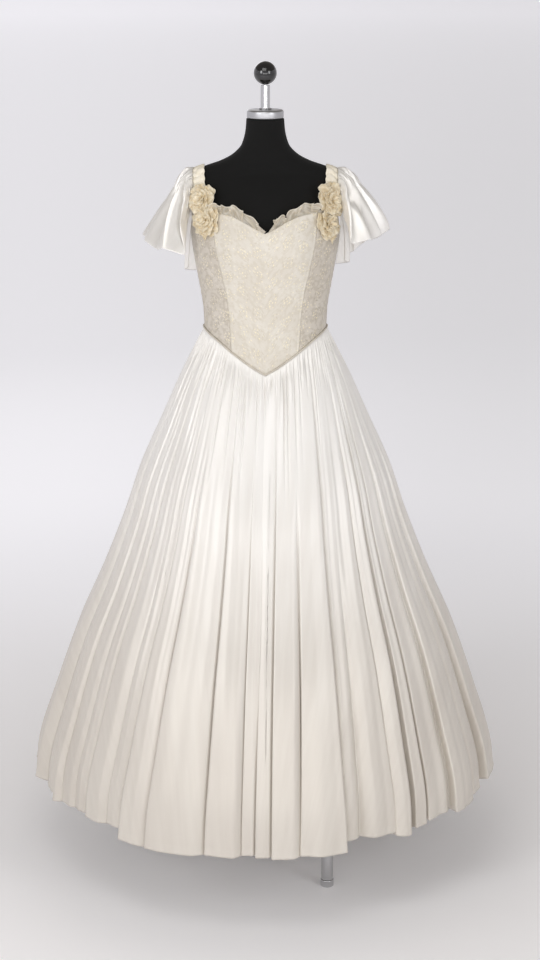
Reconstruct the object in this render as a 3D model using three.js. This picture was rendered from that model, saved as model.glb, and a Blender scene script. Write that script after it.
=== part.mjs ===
// Ball gown with a pointed basque bodice, flutter sleeves and a full gathered skirt, worn by a
// limbless dress form on a three-legged stand. Millimetres, +Z up, the front faces -Y, the floor
// is at Z = 0 and the stand's pole is on the Z axis. "Left" is the side towards -X.

import * as THREE from 'three';

// Cloth thicknesses and the gaps between the pieces
const FORM_CLEARANCE = 1;
const FORM_EASE = 1.7;
const BODICE_WALL = 2;
const SKIRT_WALL = 1.5;
const SLEEVE_WALL = 1.5;
const RUFFLE_WALL = 1;
const SEAM_GAP = 0.3;
const BODICE_OUT = FORM_CLEARANCE + BODICE_WALL;

// Heights of the stand and the form
const FORM_BOTTOM = 890;
const NECK_TOP = 1647;
const CAP_TOP = 1666;
const BALL_CENTRE = 1742;
const BALL_RADIUS = 24.5;
const ROD_RADIUS = 10;
const CAP_RADIUS = 39;
const CAP_EDGE = 5;
const POLE_RADIUS = 12.5;
const HUB_RADIUS = 30;
const HUB_BOTTOM = 126;
const HUB_TOP = 174;
const LEG_RADIUS = 13;
const LEG_LEVEL = 150;
const LEG_BEND = 62;
const LEG_REACH = 279;
const LEG_AZIMUTHS = [29, 149, 269];
const TIP_RADIUS = 14.5;
const TIP_HEIGHT = 16;

// Skirt
const HEM_HEIGHT = 185;
const HEM_RADIUS = 517;
const GATHER_DEPTH = 4;
const GATHER_FADE = 0.45;

// The dress form's level sections: half width, and depth to the front and to the back
const FORM = table('z width front back', [
  [890, 150, 100, 110],
  [1000, 166, 108, 122],
  [1100, 152, 104, 104],
  [1200, 129, 92, 82],
  [1237, 130.5, 94, 84],
  [1274, 135, 98, 88],
  [1324, 144, 106, 94],
  [1359, 150, 110, 99],
  [1400, 155.5, 111, 104],
  [1447, 157, 104, 107],
  [1490, 162, 86, 102],
  [1520, 162, 64, 80],
  [1538, 154, 50, 56],
  [1549, 130, 48, 50],
  [1561, 95, 50, 52],
  [1576, 68, 50, 52],
  [1595, 51.4, 47, 49],
  [1625, 43.5, 43, 43.5],
  [1647, 41.7, 41.7, 41.7],
]);
const formWidth = smooth(FORM, 'z', 'width');
const formFront = smooth(FORM, 'z', 'front');
const formBack = smooth(FORM, 'z', 'back');

// The bust's cups, shaped by the princess seams
const CUP = { x: 74, z: 1388, depth: 13, halfWidth: 46, halfHeight: 52 };

// Edges of the bodice round the body: degrees from centre front, and height
const NECKLINE = table('turn z', [
  [0, 1419],
  [9, 1431],
  [18, 1444],
  [28, 1454],
  [38, 1458],
  [50, 1465],
  [71, 1465],
  [79, 1432],
  [90, 1408],
  [101, 1430],
  [108, 1464],
  [130, 1464],
  [142, 1454],
  [160, 1444],
  [180, 1440],
]);
const WAIST = table('turn z', [
  [0, 1116],
  [10, 1130],
  [20, 1145],
  [33, 1163],
  [49, 1182],
  [64, 1194],
  [79, 1202],
  [90, 1204],
  [120, 1203],
  [180, 1198],
]);
const necklineHeight = smooth(NECKLINE, 'turn', 'z');
const waistHeight = smooth(WAIST, 'turn', 'z');

// The princess seam's distance from centre front at each height
const PRINCESS = table('z x', [
  [1166, 72],
  [1233, 76],
  [1282, 81.5],
  [1324, 90],
  [1373, 100],
  [1398, 105],
  [1460, 110],
]);
const princessX = smooth(PRINCESS, 'z', 'x');

// The skirt's flare from the waist seam (drop 0) to the hem (drop 1)
const FLARE = table('drop out', [
  [0, 0],
  [0.107, 0.143],
  [0.197, 0.247],
  [0.31, 0.377],
  [0.396, 0.452],
  [0.522, 0.582],
  [0.66, 0.743],
  [0.81, 0.88],
  [0.943, 0.983],
  [1, 1],
]);
const flare = smooth(FLARE, 'drop', 'out');
const SKIRT_ROWS = [0, 0.035, 0.12, 0.3, 0.55, 0.8, 1];

// Front valleys of the skirt, from the left side seam to the right one: their direction at the
// hem and at the waist in degrees from centre front, their depth at the hem, and how wide their
// left and right slopes are there
const FRONT_VALLEYS = table('hem waist depth left right', [
  [-90, -90, 36, 16, 16],
  [-81.5, -84, 22, 12, 16],
  [-73.7, -78.5, 40, 16, 22],
  [-67.5, -73, 16, 10, 12],
  [-62.5, -68, 38, 14, 20],
  [-55.9, -62.5, 34, 16, 14],
  [-50.3, -57, 60, 14, 26],
  [-42.3, -50, 36, 14, 18],
  [-36.1, -43.5, 66, 34, 10],
  [-28.3, -36.5, 20, 14, 10],
  [-22.3, -29.5, 18, 12, 16],
  [-13.3, -21.5, 58, 20, 22],
  [-8.5, -14, 6, 10, 10],
  [-4.6, -7, 36, 12, 10],
  [-1.2, 0, 6, 8, 10],
  [2.6, 10, 40, 12, 10],
  [5.6, 20, 6, 8, 8],
  [9.3, 31, 56, 12, 20],
  [14.2, 41, 8, 12, 12],
  [19.1, 50, 60, 26, 10],
  [25.1, 56.5, 28, 18, 16],
  [34.1, 62.5, 36, 14, 22],
  [40.6, 68, 28, 16, 12],
  [46.5, 73.5, 70, 22, 26],
  [55.9, 78.5, 36, 22, 14],
  [63.8, 82.5, 42, 14, 20],
  [75.6, 86.5, 40, 22, 18],
]);

// The back hangs in plain even folds whose depths follow this round
const BACK_VALLEY_COUNT = 24;
const BACK_DEPTHS = [38, 20, 46, 26, 56, 18, 42];
const BACK_SLOPES = [16, 20, 14, 18];

// Straps: distance from centre of their inner and outer edges from the front foot over the
// shoulder to the back foot, and the centre that they turn round
const STRAP = table('turn inner outer', [
  [4, 123, 150],
  [45, 126, 153],
  [90, 129, 155],
  [135, 127, 153],
  [176, 124, 150],
]);
const strapInner = smooth(STRAP, 'turn', 'inner');
const strapOuter = smooth(STRAP, 'turn', 'outer');
const STRAP_CENTRE = { y: 6, z: 1462 };
const STRAP_SHIRRS = 17;
const SHIRR_HEIGHT = 1.6;

// Flutter sleeves: a hem point for each share of the strap's edge, from its front to its back
const LEFT_SLEEVE = table('share out y z', [
  [0, 160, -44, 1472],
  [0.07, 175, -72, 1426],
  [0.14, 192, -98, 1382],
  [0.25, 230, -76, 1383],
  [0.36, 254, -34, 1392],
  [0.46, 263, 4, 1400],
  [0.56, 257, 48, 1397],
  [0.66, 237, 82, 1384],
  [0.76, 206, 98, 1362],
  [0.84, 182, 102, 1342],
  [0.9, 172, 104, 1318],
  [0.95, 166, 106, 1307],
  [1, 160, 84, 1410],
]);
const RIGHT_SLEEVE = table('share out y z', [
  [0, 160, -44, 1472],
  [0.07, 170, -72, 1438],
  [0.14, 180, -98, 1401],
  [0.25, 216, -84, 1402],
  [0.36, 246, -40, 1405],
  [0.46, 263, 4, 1409],
  [0.56, 256, 48, 1404],
  [0.66, 234, 82, 1384],
  [0.76, 206, 98, 1362],
  [0.84, 190, 102, 1346],
  [0.9, 178, 104, 1326],
  [0.95, 166, 106, 1320],
  [1, 160, 84, 1410],
]);
const SLEEVE_ROWS = [0, 0.1, 0.3, 0.62, 1];
const SLEEVE_COLUMNS = 44;
const LEFT_BULGE = 8.5;
const RIGHT_BULGE = 16;
const SLEEVE_WAVES = 7;
const SLEEVE_WAVE_DEPTH = 5;

// Neckline ruffle
const RUFFLE = {
  from: 3,
  to: 41,
  gap: 0.7,
  height: 25,
  lean: 9,
  waves: 6,
  swing: 4.2,
};
const RUFFLE_ROWS = [0, 0.5, 1];
const RUFFLE_STEPS = 8;

// Rosettes: place of the centre, radius, height off the bodice, tail length, clearance below
const ROSETTES = table('name x z radius height tail clearance turn', [
  ['rosette_upper_left', -133, 1489, 22.5, 15, 0, 5.2, 0.4],
  ['rosette_lower_left', -127, 1439, 22.5, 17, 20, 3.8, 1.1],
  ['rosette_upper_right', 132, 1486, 22.5, 15, 0, 5.2, 2.3],
  ['rosette_lower_right', 129, 1436, 22.5, 17, 20, 3.8, 3.0],
]);

// A table with named columns: one object for each row
function table(columns, rows) {
  const names = columns.split(' ');
  return rows.map((row) => Object.fromEntries(names.map((name, i) => [name, row[i]])));
}

// A smooth curve through one column of a table that doesn't overshoot between its rows
function smooth(rows, key, column) {
  const xs = rows.map((row) => row[key]);
  const ys = rows.map((row) => row[column]);
  const last = xs.length - 1;
  const steps = xs.slice(1).map((x, i) => (ys[i + 1] - ys[i]) / (x - xs[i]));
  const slopes = xs.map((x, i) => {
    if (i === 0) return steps[0];
    if (i === last) return steps[last - 1];
    const product = steps[i - 1] * steps[i];
    return product > 0 ? (2 * product) / (steps[i - 1] + steps[i]) : 0;
  });
  return (value) => {
    const x = Math.min(Math.max(value, xs[0]), xs[last]);
    let i = 0;
    while (i < last - 1 && x > xs[i + 1]) i += 1;
    const span = xs[i + 1] - xs[i];
    const t = (x - xs[i]) / span;
    const keep = (1 + 2 * t) * (1 - t) ** 2;
    const start = t * (1 - t) ** 2 * span;
    const end = t * t * (t - 1) * span;
    return keep * ys[i] + start * slopes[i] + (1 - keep) * ys[i + 1] + end * slopes[i + 1];
  };
}

const radians = THREE.MathUtils.degToRad;
const lerp = THREE.MathUtils.lerp;
const smoothstep = THREE.MathUtils.smoothstep;

// How far the cups stand forward at a point of the front
function cupDepth(x, z) {
  const across = (Math.abs(x) - CUP.x) / CUP.halfWidth;
  const up = (z - CUP.z) / CUP.halfHeight;
  return CUP.depth * Math.exp(-across * across - up * up);
}

// Below 0 inside the form's surface, above 0 outside it
function outsideForm(p) {
  const cup = p.y < 0 ? cupDepth(p.x, p.z) : 0;
  const depth = p.y < 0 ? formFront(p.z) : formBack(p.z);
  const lift = p.y < 0 ? Math.min(p.y + cup, 0) : p.y;
  return (p.x / formWidth(p.z)) ** 2 + (lift / depth) ** 2 - 1;
}

function formNormal(p) {
  const h = 0.5;
  const change = (x, y, z) => outsideForm(new THREE.Vector3(p.x + x, p.y + y, p.z + z));
  return new THREE.Vector3(
    change(h, 0, 0) - change(-h, 0, 0),
    change(0, h, 0) - change(0, -h, 0),
    change(0, 0, h) - change(0, 0, -h),
  ).normalize();
}

// The form's surface at a turn in degrees from centre front and a height, moved out by a clearance
function onForm(turn, z, out = 0) {
  const angle = radians(turn);
  const x = formWidth(z) * Math.sin(angle);
  const front = Math.cos(angle) >= 0;
  const depth = front ? formFront(z) : formBack(z);
  const cup = front ? cupDepth(x, z) * Math.min(1, 3 * Math.cos(angle)) : 0;
  const p = new THREE.Vector3(x, -depth * Math.cos(angle) - cup, z);
  return out === 0 ? p : p.addScaledVector(formNormal(p), out);
}

// Walks from a point along a direction to the form's surface, then out by a clearance
function castToForm(from, direction, reach, out) {
  let near = 0;
  let far = reach;
  for (let i = 0; i < 30; i += 1) {
    const middle = (near + far) / 2;
    const p = from.clone().addScaledVector(direction, middle);
    if (outsideForm(p) < 0) near = middle;
    else far = middle;
  }
  const p = from.clone().addScaledVector(direction, near);
  return p.addScaledVector(formNormal(p), out);
}

// Mean normals of a grid of points; grid[i][j] runs along columns i and rows j
function gridNormals(grid, closed) {
  const columns = grid.length;
  const rows = grid[0].length;
  return grid.map((column, i) => column.map((p, j) => {
    const before = closed ? grid[(i + columns - 1) % columns][j] : grid[Math.max(i - 1, 0)][j];
    const after = closed ? grid[(i + 1) % columns][j] : grid[Math.min(i + 1, columns - 1)][j];
    const along = after.clone().sub(before);
    const down = grid[i][Math.min(j + 1, rows - 1)].clone().sub(grid[i][Math.max(j - 1, 0)]);
    return down.cross(along).normalize();
  }));
}

function offsetGrid(grid, normals, distance) {
  return grid.map((column, i) => column.map((p, j) => (
    p.clone().addScaledVector(normals[i][j], distance)
  )));
}

// Moves the first and last columns in by half a seam's gap
function insetSides(grid, gap) {
  const last = grid.length - 1;
  grid[0].forEach((p, j) => p.add(grid[1][j].clone().sub(p).setLength(gap / 2)));
  grid[last].forEach((p, j) => p.add(grid[last - 1][j].clone().sub(p).setLength(gap / 2)));
  return grid;
}

function solidGeometry(points, triangles) {
  let volume = 0;
  for (const [a, b, c] of triangles) {
    volume += points[a].dot(points[b].clone().cross(points[c]));
  }
  const index = triangles.flatMap(([a, b, c]) => (volume < 0 ? [a, c, b] : [a, b, c]));
  const geometry = new THREE.BufferGeometry();
  geometry.setAttribute('position', new THREE.Float32BufferAttribute(
    points.flatMap((p) => [p.x, p.y, p.z]),
    3,
  ));
  geometry.setIndex(index);
  geometry.computeVertexNormals();
  return geometry;
}

// A closed wall of cloth between an outer and an inner grid of the same size
function wall(outer, inner) {
  const columns = outer.length;
  const rows = outer[0].length;
  const points = [...outer.flat(), ...inner.flat()];
  const at = (side, i, j) => side * columns * rows + i * rows + j;
  const triangles = [];
  const quad = (a, b, c, d) => triangles.push([a, b, c], [a, c, d]);
  for (let i = 0; i < columns - 1; i += 1) {
    for (let j = 0; j < rows - 1; j += 1) {
      quad(at(0, i, j), at(0, i + 1, j), at(0, i + 1, j + 1), at(0, i, j + 1));
      quad(at(1, i, j + 1), at(1, i + 1, j + 1), at(1, i + 1, j), at(1, i, j));
    }
    quad(at(0, i + 1, 0), at(0, i, 0), at(1, i, 0), at(1, i + 1, 0));
    quad(at(0, i, rows - 1), at(0, i + 1, rows - 1), at(1, i + 1, rows - 1), at(1, i, rows - 1));
  }
  for (let j = 0; j < rows - 1; j += 1) {
    quad(at(0, 0, j), at(0, 0, j + 1), at(1, 0, j + 1), at(1, 0, j));
    quad(
      at(0, columns - 1, j + 1),
      at(0, columns - 1, j),
      at(1, columns - 1, j),
      at(1, columns - 1, j + 1),
    );
  }
  return solidGeometry(points, triangles);
}

// A closed solid through level rings, with a fan over each end
function rings(levels) {
  const sides = levels[0].length;
  const points = levels.flat();
  const triangles = [];
  for (let j = 0; j < levels.length - 1; j += 1) {
    for (let i = 0; i < sides; i += 1) {
      const next = (i + 1) % sides;
      const low = j * sides;
      const high = low + sides;
      triangles.push([low + i, low + next, high + next], [low + i, high + next, high + i]);
    }
  }
  const centre = (level) => level.reduce((sum, p) => sum.add(p), new THREE.Vector3())
    .divideScalar(sides);
  const bottom = points.push(centre(levels[0])) - 1;
  const top = points.push(centre(levels[levels.length - 1])) - 1;
  const topRing = (levels.length - 1) * sides;
  for (let i = 0; i < sides; i += 1) {
    const next = (i + 1) % sides;
    triangles.push([bottom, next, i], [top, topRing + i, topRing + next]);
  }
  return solidGeometry(points, triangles);
}

function roundTube(path, radius, sides, steps) {
  const section = new THREE.Shape().absarc(0, 0, radius, 0, 2 * Math.PI);
  return new THREE.ExtrudeGeometry(section, {
    steps,
    curveSegments: sides / 2,
    extrudePath: path,
    bevelEnabled: false,
  });
}

// Materials
const brocade = { color: 0xe9e0cf, roughness: 0.62, metalness: 0.05 };
const satin = { color: 0xeee9e2, roughness: 0.38, metalness: 0 };
const shirred = { color: 0xf0e9d8, roughness: 0.6, metalness: 0 };
const organza = { color: 0xd9cdae, roughness: 0.55, metalness: 0 };
const blackCloth = { color: 0x1b1b1a, roughness: 0.9, metalness: 0 };
const blackGloss = { color: 0x0b0b0c, roughness: 0.12, metalness: 0 };
const steel = { color: 0xb9bbbd, roughness: 0.3, metalness: 1 };
const chrome = { color: 0xd4d6d8, roughness: 0.1, metalness: 1 };
const rubber = { color: 0x202022, roughness: 0.8, metalness: 0 };

const group = new THREE.Group();

function addPiece(name, geometry, finish) {
  const mesh = new THREE.Mesh(geometry, new THREE.MeshStandardMaterial(finish));
  mesh.name = name;
  group.add(mesh);
}

// Bodice panels: between two seams, each a turn that may change with the height
function bodicePanel(leftSeam, rightSeam, columns, rows) {
  const grid = (out) => {
    const sheet = [];
    for (let i = 0; i <= columns; i += 1) {
      const column = [];
      for (let j = 0; j <= rows; j += 1) {
        let turn = lerp(leftSeam(1300), rightSeam(1300), i / columns);
        let z = 1300;
        for (let pass = 0; pass < 6; pass += 1) {
          const top = necklineHeight(Math.abs(turn));
          z = lerp(top, waistHeight(Math.abs(turn)), j / rows);
          turn = lerp(leftSeam(z), rightSeam(z), i / columns);
        }
        column.push({ turn, z });
      }
      sheet.push(column.map((place) => panelPoint(place.turn, place.z, out)));
    }
    return insetSides(sheet, SEAM_GAP);
  };
  return wall(grid(BODICE_OUT), grid(FORM_CLEARANCE));
}

function panelPoint(turn, z, out) {
  return onForm(turn, z, out);
}

const princessTurn = (z) => THREE.MathUtils.radToDeg(Math.asin(princessX(z) / formWidth(z)));
const fixed = (turn) => () => turn;

function addBodice() {
  const centre = bodicePanel((z) => -princessTurn(z), princessTurn, 14, 9);
  addPiece('bodice_front_centre', centre, brocade);
  const left = bodicePanel(fixed(-90), (z) => -princessTurn(z), 10, 9);
  addPiece('bodice_front_side_left', left, brocade);
  const right = bodicePanel(princessTurn, fixed(90), 10, 9);
  addPiece('bodice_front_side_right', right, brocade);
  addPiece('bodice_back_right', bodicePanel(fixed(90), fixed(180), 10, 6), brocade);
  addPiece('bodice_back_left', bodicePanel(fixed(-180), fixed(-90), 10, 6), brocade);
}

// Cord piping over the waist seam
const PIPING_RADIUS = 1.8;

function addPiping(name, fromTurn, toTurn, steps) {
  const points = [];
  for (let i = 0; i <= steps; i += 1) {
    const turn = lerp(fromTurn, toTurn, i / steps);
    const folded = turn > 180 ? 360 - turn : Math.abs(turn);
    points.push(onForm(turn, waistHeight(folded), BODICE_OUT + SEAM_GAP + PIPING_RADIUS));
  }
  const path = new THREE.CatmullRomCurve3(points);
  addPiece(name, roundTube(path, PIPING_RADIUS, 6, steps), shirred);
}

// Skirt: columns that follow the valleys from the waist to the hem
function valleyRing() {
  const back = [];
  for (let i = 0; i < BACK_VALLEY_COUNT; i += 1) {
    const turn = 90 + (180 * i) / BACK_VALLEY_COUNT;
    back.push({
      hem: turn,
      waist: turn,
      depth: BACK_DEPTHS[i % BACK_DEPTHS.length],
      left: BACK_SLOPES[i % BACK_SLOPES.length],
      right: BACK_SLOPES[(i + 2) % BACK_SLOPES.length],
    });
  }
  return [...FRONT_VALLEYS, ...back];
}

function pleatColumns(valley, next) {
  const wrap = next.hem < valley.hem ? 360 : 0;
  const width = radians(next.hem + wrap - valley.hem) * HEM_RADIUS;
  const start = Math.min(valley.right / width, 0.42);
  const end = 1 - Math.min(next.left / width, 0.42);
  const place = (share, deep, gather) => ({
    hem: lerp(valley.hem, next.hem + wrap, share),
    waist: lerp(valley.waist, next.waist + wrap, share),
    deep,
    gather,
  });
  return [
    place(0, valley.depth, 1),
    place(start, 0, 0),
    place((start + end) / 2, 0, 0.8),
    place(end, 0, 0),
  ];
}

function skirtPoint(column, drop) {
  const folded = column.waist > 180 ? 360 - column.waist : Math.abs(column.waist);
  const top = onForm(column.waist, waistHeight(folded) - SEAM_GAP, BODICE_OUT - SEAM_GAP);
  const hem = radians(column.hem);
  const out = flare(drop);
  const x = lerp(top.x, HEM_RADIUS * Math.sin(hem), out);
  const y = lerp(top.y, -HEM_RADIUS * Math.cos(hem), out);
  const gathered = smoothstep(drop, 0, SKIRT_ROWS[1]) * (1 - smoothstep(drop, 0, GATHER_FADE));
  const inwards = column.deep * drop ** 0.85 + column.gather * GATHER_DEPTH * gathered;
  const scale = 1 - inwards / Math.hypot(x, y);
  return new THREE.Vector3(x * scale, y * scale, lerp(top.z, HEM_HEIGHT, drop));
}

// Leans the skirt so that the hem's outline is centred on the pole
function centreHem(ring) {
  const hem = ring.map((column) => column[column.length - 1]);
  const box = new THREE.Box3().setFromPoints(hem);
  const sway = box.getCenter(new THREE.Vector3()).setZ(0);
  ring.forEach((column) => column.forEach((p, j) => p.addScaledVector(sway, -SKIRT_ROWS[j])));
}

function addSkirt() {
  const valleys = valleyRing();
  const columns = valleys.flatMap((valley, i) => (
    pleatColumns(valley, valleys[(i + 1) % valleys.length])
  ));
  const outer = columns.map((column) => SKIRT_ROWS.map((drop) => skirtPoint(column, drop)));
  centreHem(outer);
  const inner = offsetGrid(outer, gridNormals(outer, true), -SKIRT_WALL);
  const frontEnd = columns.findIndex((column) => column.hem >= 90);
  const stretch = (grid, from, to) => insetSides(
    grid.slice(from, to).map((column) => column.map((p) => p.clone())),
    SEAM_GAP,
  );
  const around = (grid) => [...grid, grid[0]];
  const half = (from, to) => wall(
    stretch(around(outer), from, to),
    stretch(around(inner), from, to),
  );
  addPiece('skirt_front', half(0, frontEnd + 1), satin);
  addPiece('skirt_back', half(frontEnd, columns.length + 1), satin);
}

// Straps, shirred across, over each shoulder
function strapPoint(side, turn, share, out) {
  const angle = radians(turn);
  const x = side * lerp(strapInner(turn), strapOuter(turn), share);
  const from = new THREE.Vector3(x, STRAP_CENTRE.y, STRAP_CENTRE.z);
  const direction = new THREE.Vector3(0, -Math.cos(angle), Math.sin(angle));
  return castToForm(from, direction, 140, out);
}

// The turn at which the strap meets the bodice's edge, at its front foot or its back foot
function strapFoot(share, atBack) {
  const nearTurn = atBack ? 176 : 4;
  const x = lerp(strapInner(nearTurn), strapOuter(nearTurn), share);
  let z = STRAP_CENTRE.z;
  let y = 0;
  for (let pass = 0; pass < 6; pass += 1) {
    const across = Math.asin(x / formWidth(z));
    const round = THREE.MathUtils.radToDeg(across);
    z = necklineHeight(atBack ? 180 - round : round) + SEAM_GAP;
    y = Math.cos(across) * (atBack ? formBack(z) : -formFront(z));
  }
  const rise = Math.atan2(z - STRAP_CENTRE.z, Math.abs(y - STRAP_CENTRE.y));
  const foot = THREE.MathUtils.radToDeg(rise);
  return atBack ? 180 - foot : foot;
}

function addStrap(name, side) {
  const steps = STRAP_SHIRRS * 2;
  const sheet = (out, shirr) => {
    const grid = [];
    for (let i = 0; i <= steps; i += 1) {
      const lift = i % 2 === 1 ? shirr : 0;
      grid.push([0, 0.5, 1].map((share) => {
        const turn = lerp(strapFoot(share, false), strapFoot(share, true), i / steps);
        return strapPoint(side, turn, share, out + lift);
      }));
    }
    return grid;
  };
  addPiece(name, wall(sheet(BODICE_OUT, SHIRR_HEIGHT), sheet(FORM_CLEARANCE, 0)), shirred);
}

// Flutter sleeves, gathered to the straps' outer edges
const SLEEVE_FROM = 46;
const SLEEVE_TO = 158;

function addSleeve(name, side, hemTable, bulge) {
  const hemOut = smooth(hemTable, 'share', 'out');
  const hemY = smooth(hemTable, 'share', 'y');
  const hemZ = smooth(hemTable, 'share', 'z');
  const outer = [];
  for (let i = 0; i <= SLEEVE_COLUMNS; i += 1) {
    const share = i / SLEEVE_COLUMNS;
    const turn = lerp(SLEEVE_FROM, SLEEVE_TO, share);
    const top = strapPoint(side, turn, 1, BODICE_OUT);
    top.x += side * (SEAM_GAP + SLEEVE_WALL);
    const hem = new THREE.Vector3(side * hemOut(share), hemY(share), hemZ(share));
    const fall = hem.clone().sub(top);
    const outward = new THREE.Vector3(side * 0.8, (share - 0.5) * 1.4, 0.5).normalize();
    const wave = Math.cos(2 * Math.PI * SLEEVE_WAVES * share);
    const length = Math.min(fall.length() / 180, 1);
    outer.push(SLEEVE_ROWS.map((drop) => {
      const lift = bulge * length * 4 * drop * (1 - drop);
      const ripple = SLEEVE_WAVE_DEPTH * length * wave * Math.sin(drop * Math.PI * 0.5);
      return top.clone().addScaledVector(fall, drop).addScaledVector(outward, lift + ripple);
    }));
  }
  const normals = gridNormals(outer, false);
  const inner = offsetGrid(outer, normals, -side * SLEEVE_WALL);
  addPiece(name, wall(outer, inner), satin);
}

// Gathered ruffle above the neckline
function addRuffle(name, side) {
  const steps = RUFFLE.waves * RUFFLE_STEPS;
  const middle = [];
  for (let i = 0; i <= steps; i += 1) {
    const share = i / steps;
    const turn = side * lerp(RUFFLE.from, RUFFLE.to, share);
    const foot = onForm(turn, necklineHeight(Math.abs(turn)) + RUFFLE.gap, 0);
    const normal = formNormal(foot);
    const wave = Math.sin(2 * Math.PI * RUFFLE.waves * share);
    const ends = Math.min(1, 6 * share, 6 * (1 - share));
    middle.push(RUFFLE_ROWS.map((rise) => {
      const lean = FORM_CLEARANCE + BODICE_WALL / 2 + RUFFLE.lean * rise;
      const p = foot.clone().addScaledVector(normal, lean + RUFFLE.swing * wave * rise);
      p.z += rise * RUFFLE.height * (0.6 + 0.4 * ends);
      return p;
    }));
  }
  const normals = gridNormals(middle, false);
  const half = RUFFLE_WALL / 2;
  addPiece(name, wall(offsetGrid(middle, normals, half), offsetGrid(middle, normals, -half)), organza);
}

// Organza rosettes: ruffled discs that lie on the bodice or the strap
const ROSETTE_SIDES = 20;
const ROSETTE_LEVELS = table('share rise', [
  [0.3, 0.82],
  [0.55, 1],
  [0.8, 0.7],
  [1, 0.32],
]);
const PETALS = 5;
const RIM_LIFT = 7;

function addRosette({ name, x, z, radius, height, tail, clearance, turn }) {
  const side = Math.sign(x);
  const seat = castToForm(
    new THREE.Vector3(x, 0, z),
    new THREE.Vector3(0, -1, 0),
    200,
    0,
  );
  const normal = formNormal(seat);
  const up = new THREE.Vector3(0, 0, 1).addScaledVector(normal, -normal.z).normalize();
  const across = up.clone().cross(normal).normalize();
  const reach = (angle) => {
    const petal = 1 + 0.1 * Math.cos(PETALS * angle + turn);
    const below = Math.max(0, -Math.sin(angle) - 0.72) / 0.28;
    return radius * petal + tail * below * below;
  };
  const place = (angle, share, out) => {
    const distance = reach(angle) * share;
    const start = seat.clone()
      .addScaledVector(across, side * distance * Math.cos(angle))
      .addScaledVector(up, distance * Math.sin(angle))
      .addScaledVector(normal, -60);
    return castToForm(start, normal, 120, clearance + RIM_LIFT * Math.max(0, 2 * share - 1) + out);
  };
  const ring = (share, rise) => {
    const level = [];
    for (let i = 0; i < ROSETTE_SIDES; i += 1) {
      const angle = (2 * Math.PI * i) / ROSETTE_SIDES;
      const curl = Math.cos(PETALS * angle + turn + 5 * share);
      const lift = rise === 0 ? 0 : height * rise * (1 + 0.22 * curl);
      level.push(place(angle, share, lift));
    }
    return level;
  };
  const levels = [ring(0.5, 0), ring(0.96, 0)];
  ROSETTE_LEVELS.slice().reverse().forEach((row) => levels.push(ring(row.share, row.rise)));
  addPiece(name, rings(levels), organza);
}

// The dress form and its stand
const FORM_SIDES = 28;

function addForm() {
  const levels = FORM.map(({ z }) => {
    const level = [];
    for (let i = 0; i < FORM_SIDES; i += 1) {
      level.push(onForm((360 * i) / FORM_SIDES - 180, z, -FORM_EASE));
    }
    return level;
  });
  addPiece('form_torso', rings(levels), blackCloth);
}

function latheSolid(profile, sides) {
  const points = profile.map(([radius, height]) => new THREE.Vector2(radius, height));
  return new THREE.LatheGeometry(points, sides).rotateX(Math.PI / 2);
}

function addFinial() {
  const bottom = NECK_TOP + SEAM_GAP;
  const cap = [
    [0, bottom],
    [CAP_RADIUS, bottom],
    [CAP_RADIUS, CAP_TOP - CAP_EDGE],
  ];
  for (const angle of [30, 60, 90]) {
    cap.push([
      CAP_RADIUS - CAP_EDGE + CAP_EDGE * Math.cos(radians(angle)),
      CAP_TOP - CAP_EDGE + CAP_EDGE * Math.sin(radians(angle)),
    ]);
  }
  cap.push([0, CAP_TOP]);
  addPiece('neck_cap', latheSolid(cap, 32), steel);
  const rodTop = BALL_CENTRE - BALL_RADIUS - SEAM_GAP;
  const rod = [
    [0, CAP_TOP + SEAM_GAP],
    [ROD_RADIUS, CAP_TOP + SEAM_GAP],
    [ROD_RADIUS, rodTop],
    [0, rodTop],
  ];
  addPiece('top_rod', latheSolid(rod, 20), chrome);
  const ball = new THREE.SphereGeometry(BALL_RADIUS, 20, 12).rotateX(Math.PI / 2);
  addPiece('ball_finial', ball.translate(0, 0, BALL_CENTRE), blackGloss);
}

function addStand() {
  const pole = [
    [0, HUB_TOP + SEAM_GAP],
    [POLE_RADIUS, HUB_TOP + SEAM_GAP],
    [POLE_RADIUS, FORM_BOTTOM - SEAM_GAP],
    [0, FORM_BOTTOM - SEAM_GAP],
  ];
  addPiece('pole', latheSolid(pole, 20), chrome);
  const hub = [
    [0, HUB_BOTTOM],
    [HUB_RADIUS, HUB_BOTTOM],
    [HUB_RADIUS, HUB_TOP],
    [0, HUB_TOP],
  ];
  addPiece('hub', latheSolid(hub, 24), rubber);
  LEG_AZIMUTHS.forEach((azimuth, i) => {
    const direction = new THREE.Vector3(Math.sin(radians(azimuth)), -Math.cos(radians(azimuth)), 0);
    const at = (reach, z) => direction.clone().multiplyScalar(reach).setZ(z);
    const bendPull = LEG_BEND * 0.5523;
    const path = new THREE.CurvePath();
    const bendStart = LEG_REACH - LEG_BEND;
    path.add(new THREE.LineCurve3(at(HUB_RADIUS + SEAM_GAP, LEG_LEVEL), at(bendStart, LEG_LEVEL)));
    path.add(new THREE.CubicBezierCurve3(
      at(bendStart, LEG_LEVEL),
      at(bendStart + bendPull, LEG_LEVEL),
      at(LEG_REACH, LEG_LEVEL - LEG_BEND + bendPull),
      at(LEG_REACH, LEG_LEVEL - LEG_BEND),
    ));
    const foot = at(LEG_REACH, TIP_HEIGHT + SEAM_GAP);
    path.add(new THREE.LineCurve3(at(LEG_REACH, LEG_LEVEL - LEG_BEND), foot));
    addPiece(`leg_${i + 1}`, roundTube(path, LEG_RADIUS, 10, 14), chrome);
    const tip = [
      [0, 0],
      [TIP_RADIUS, 0],
      [TIP_RADIUS, TIP_HEIGHT],
      [0, TIP_HEIGHT],
    ];
    const place = at(LEG_REACH, 0);
    addPiece(`foot_tip_${i + 1}`, latheSolid(tip, 20).translate(place.x, place.y, 0), chrome);
  });
}

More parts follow.
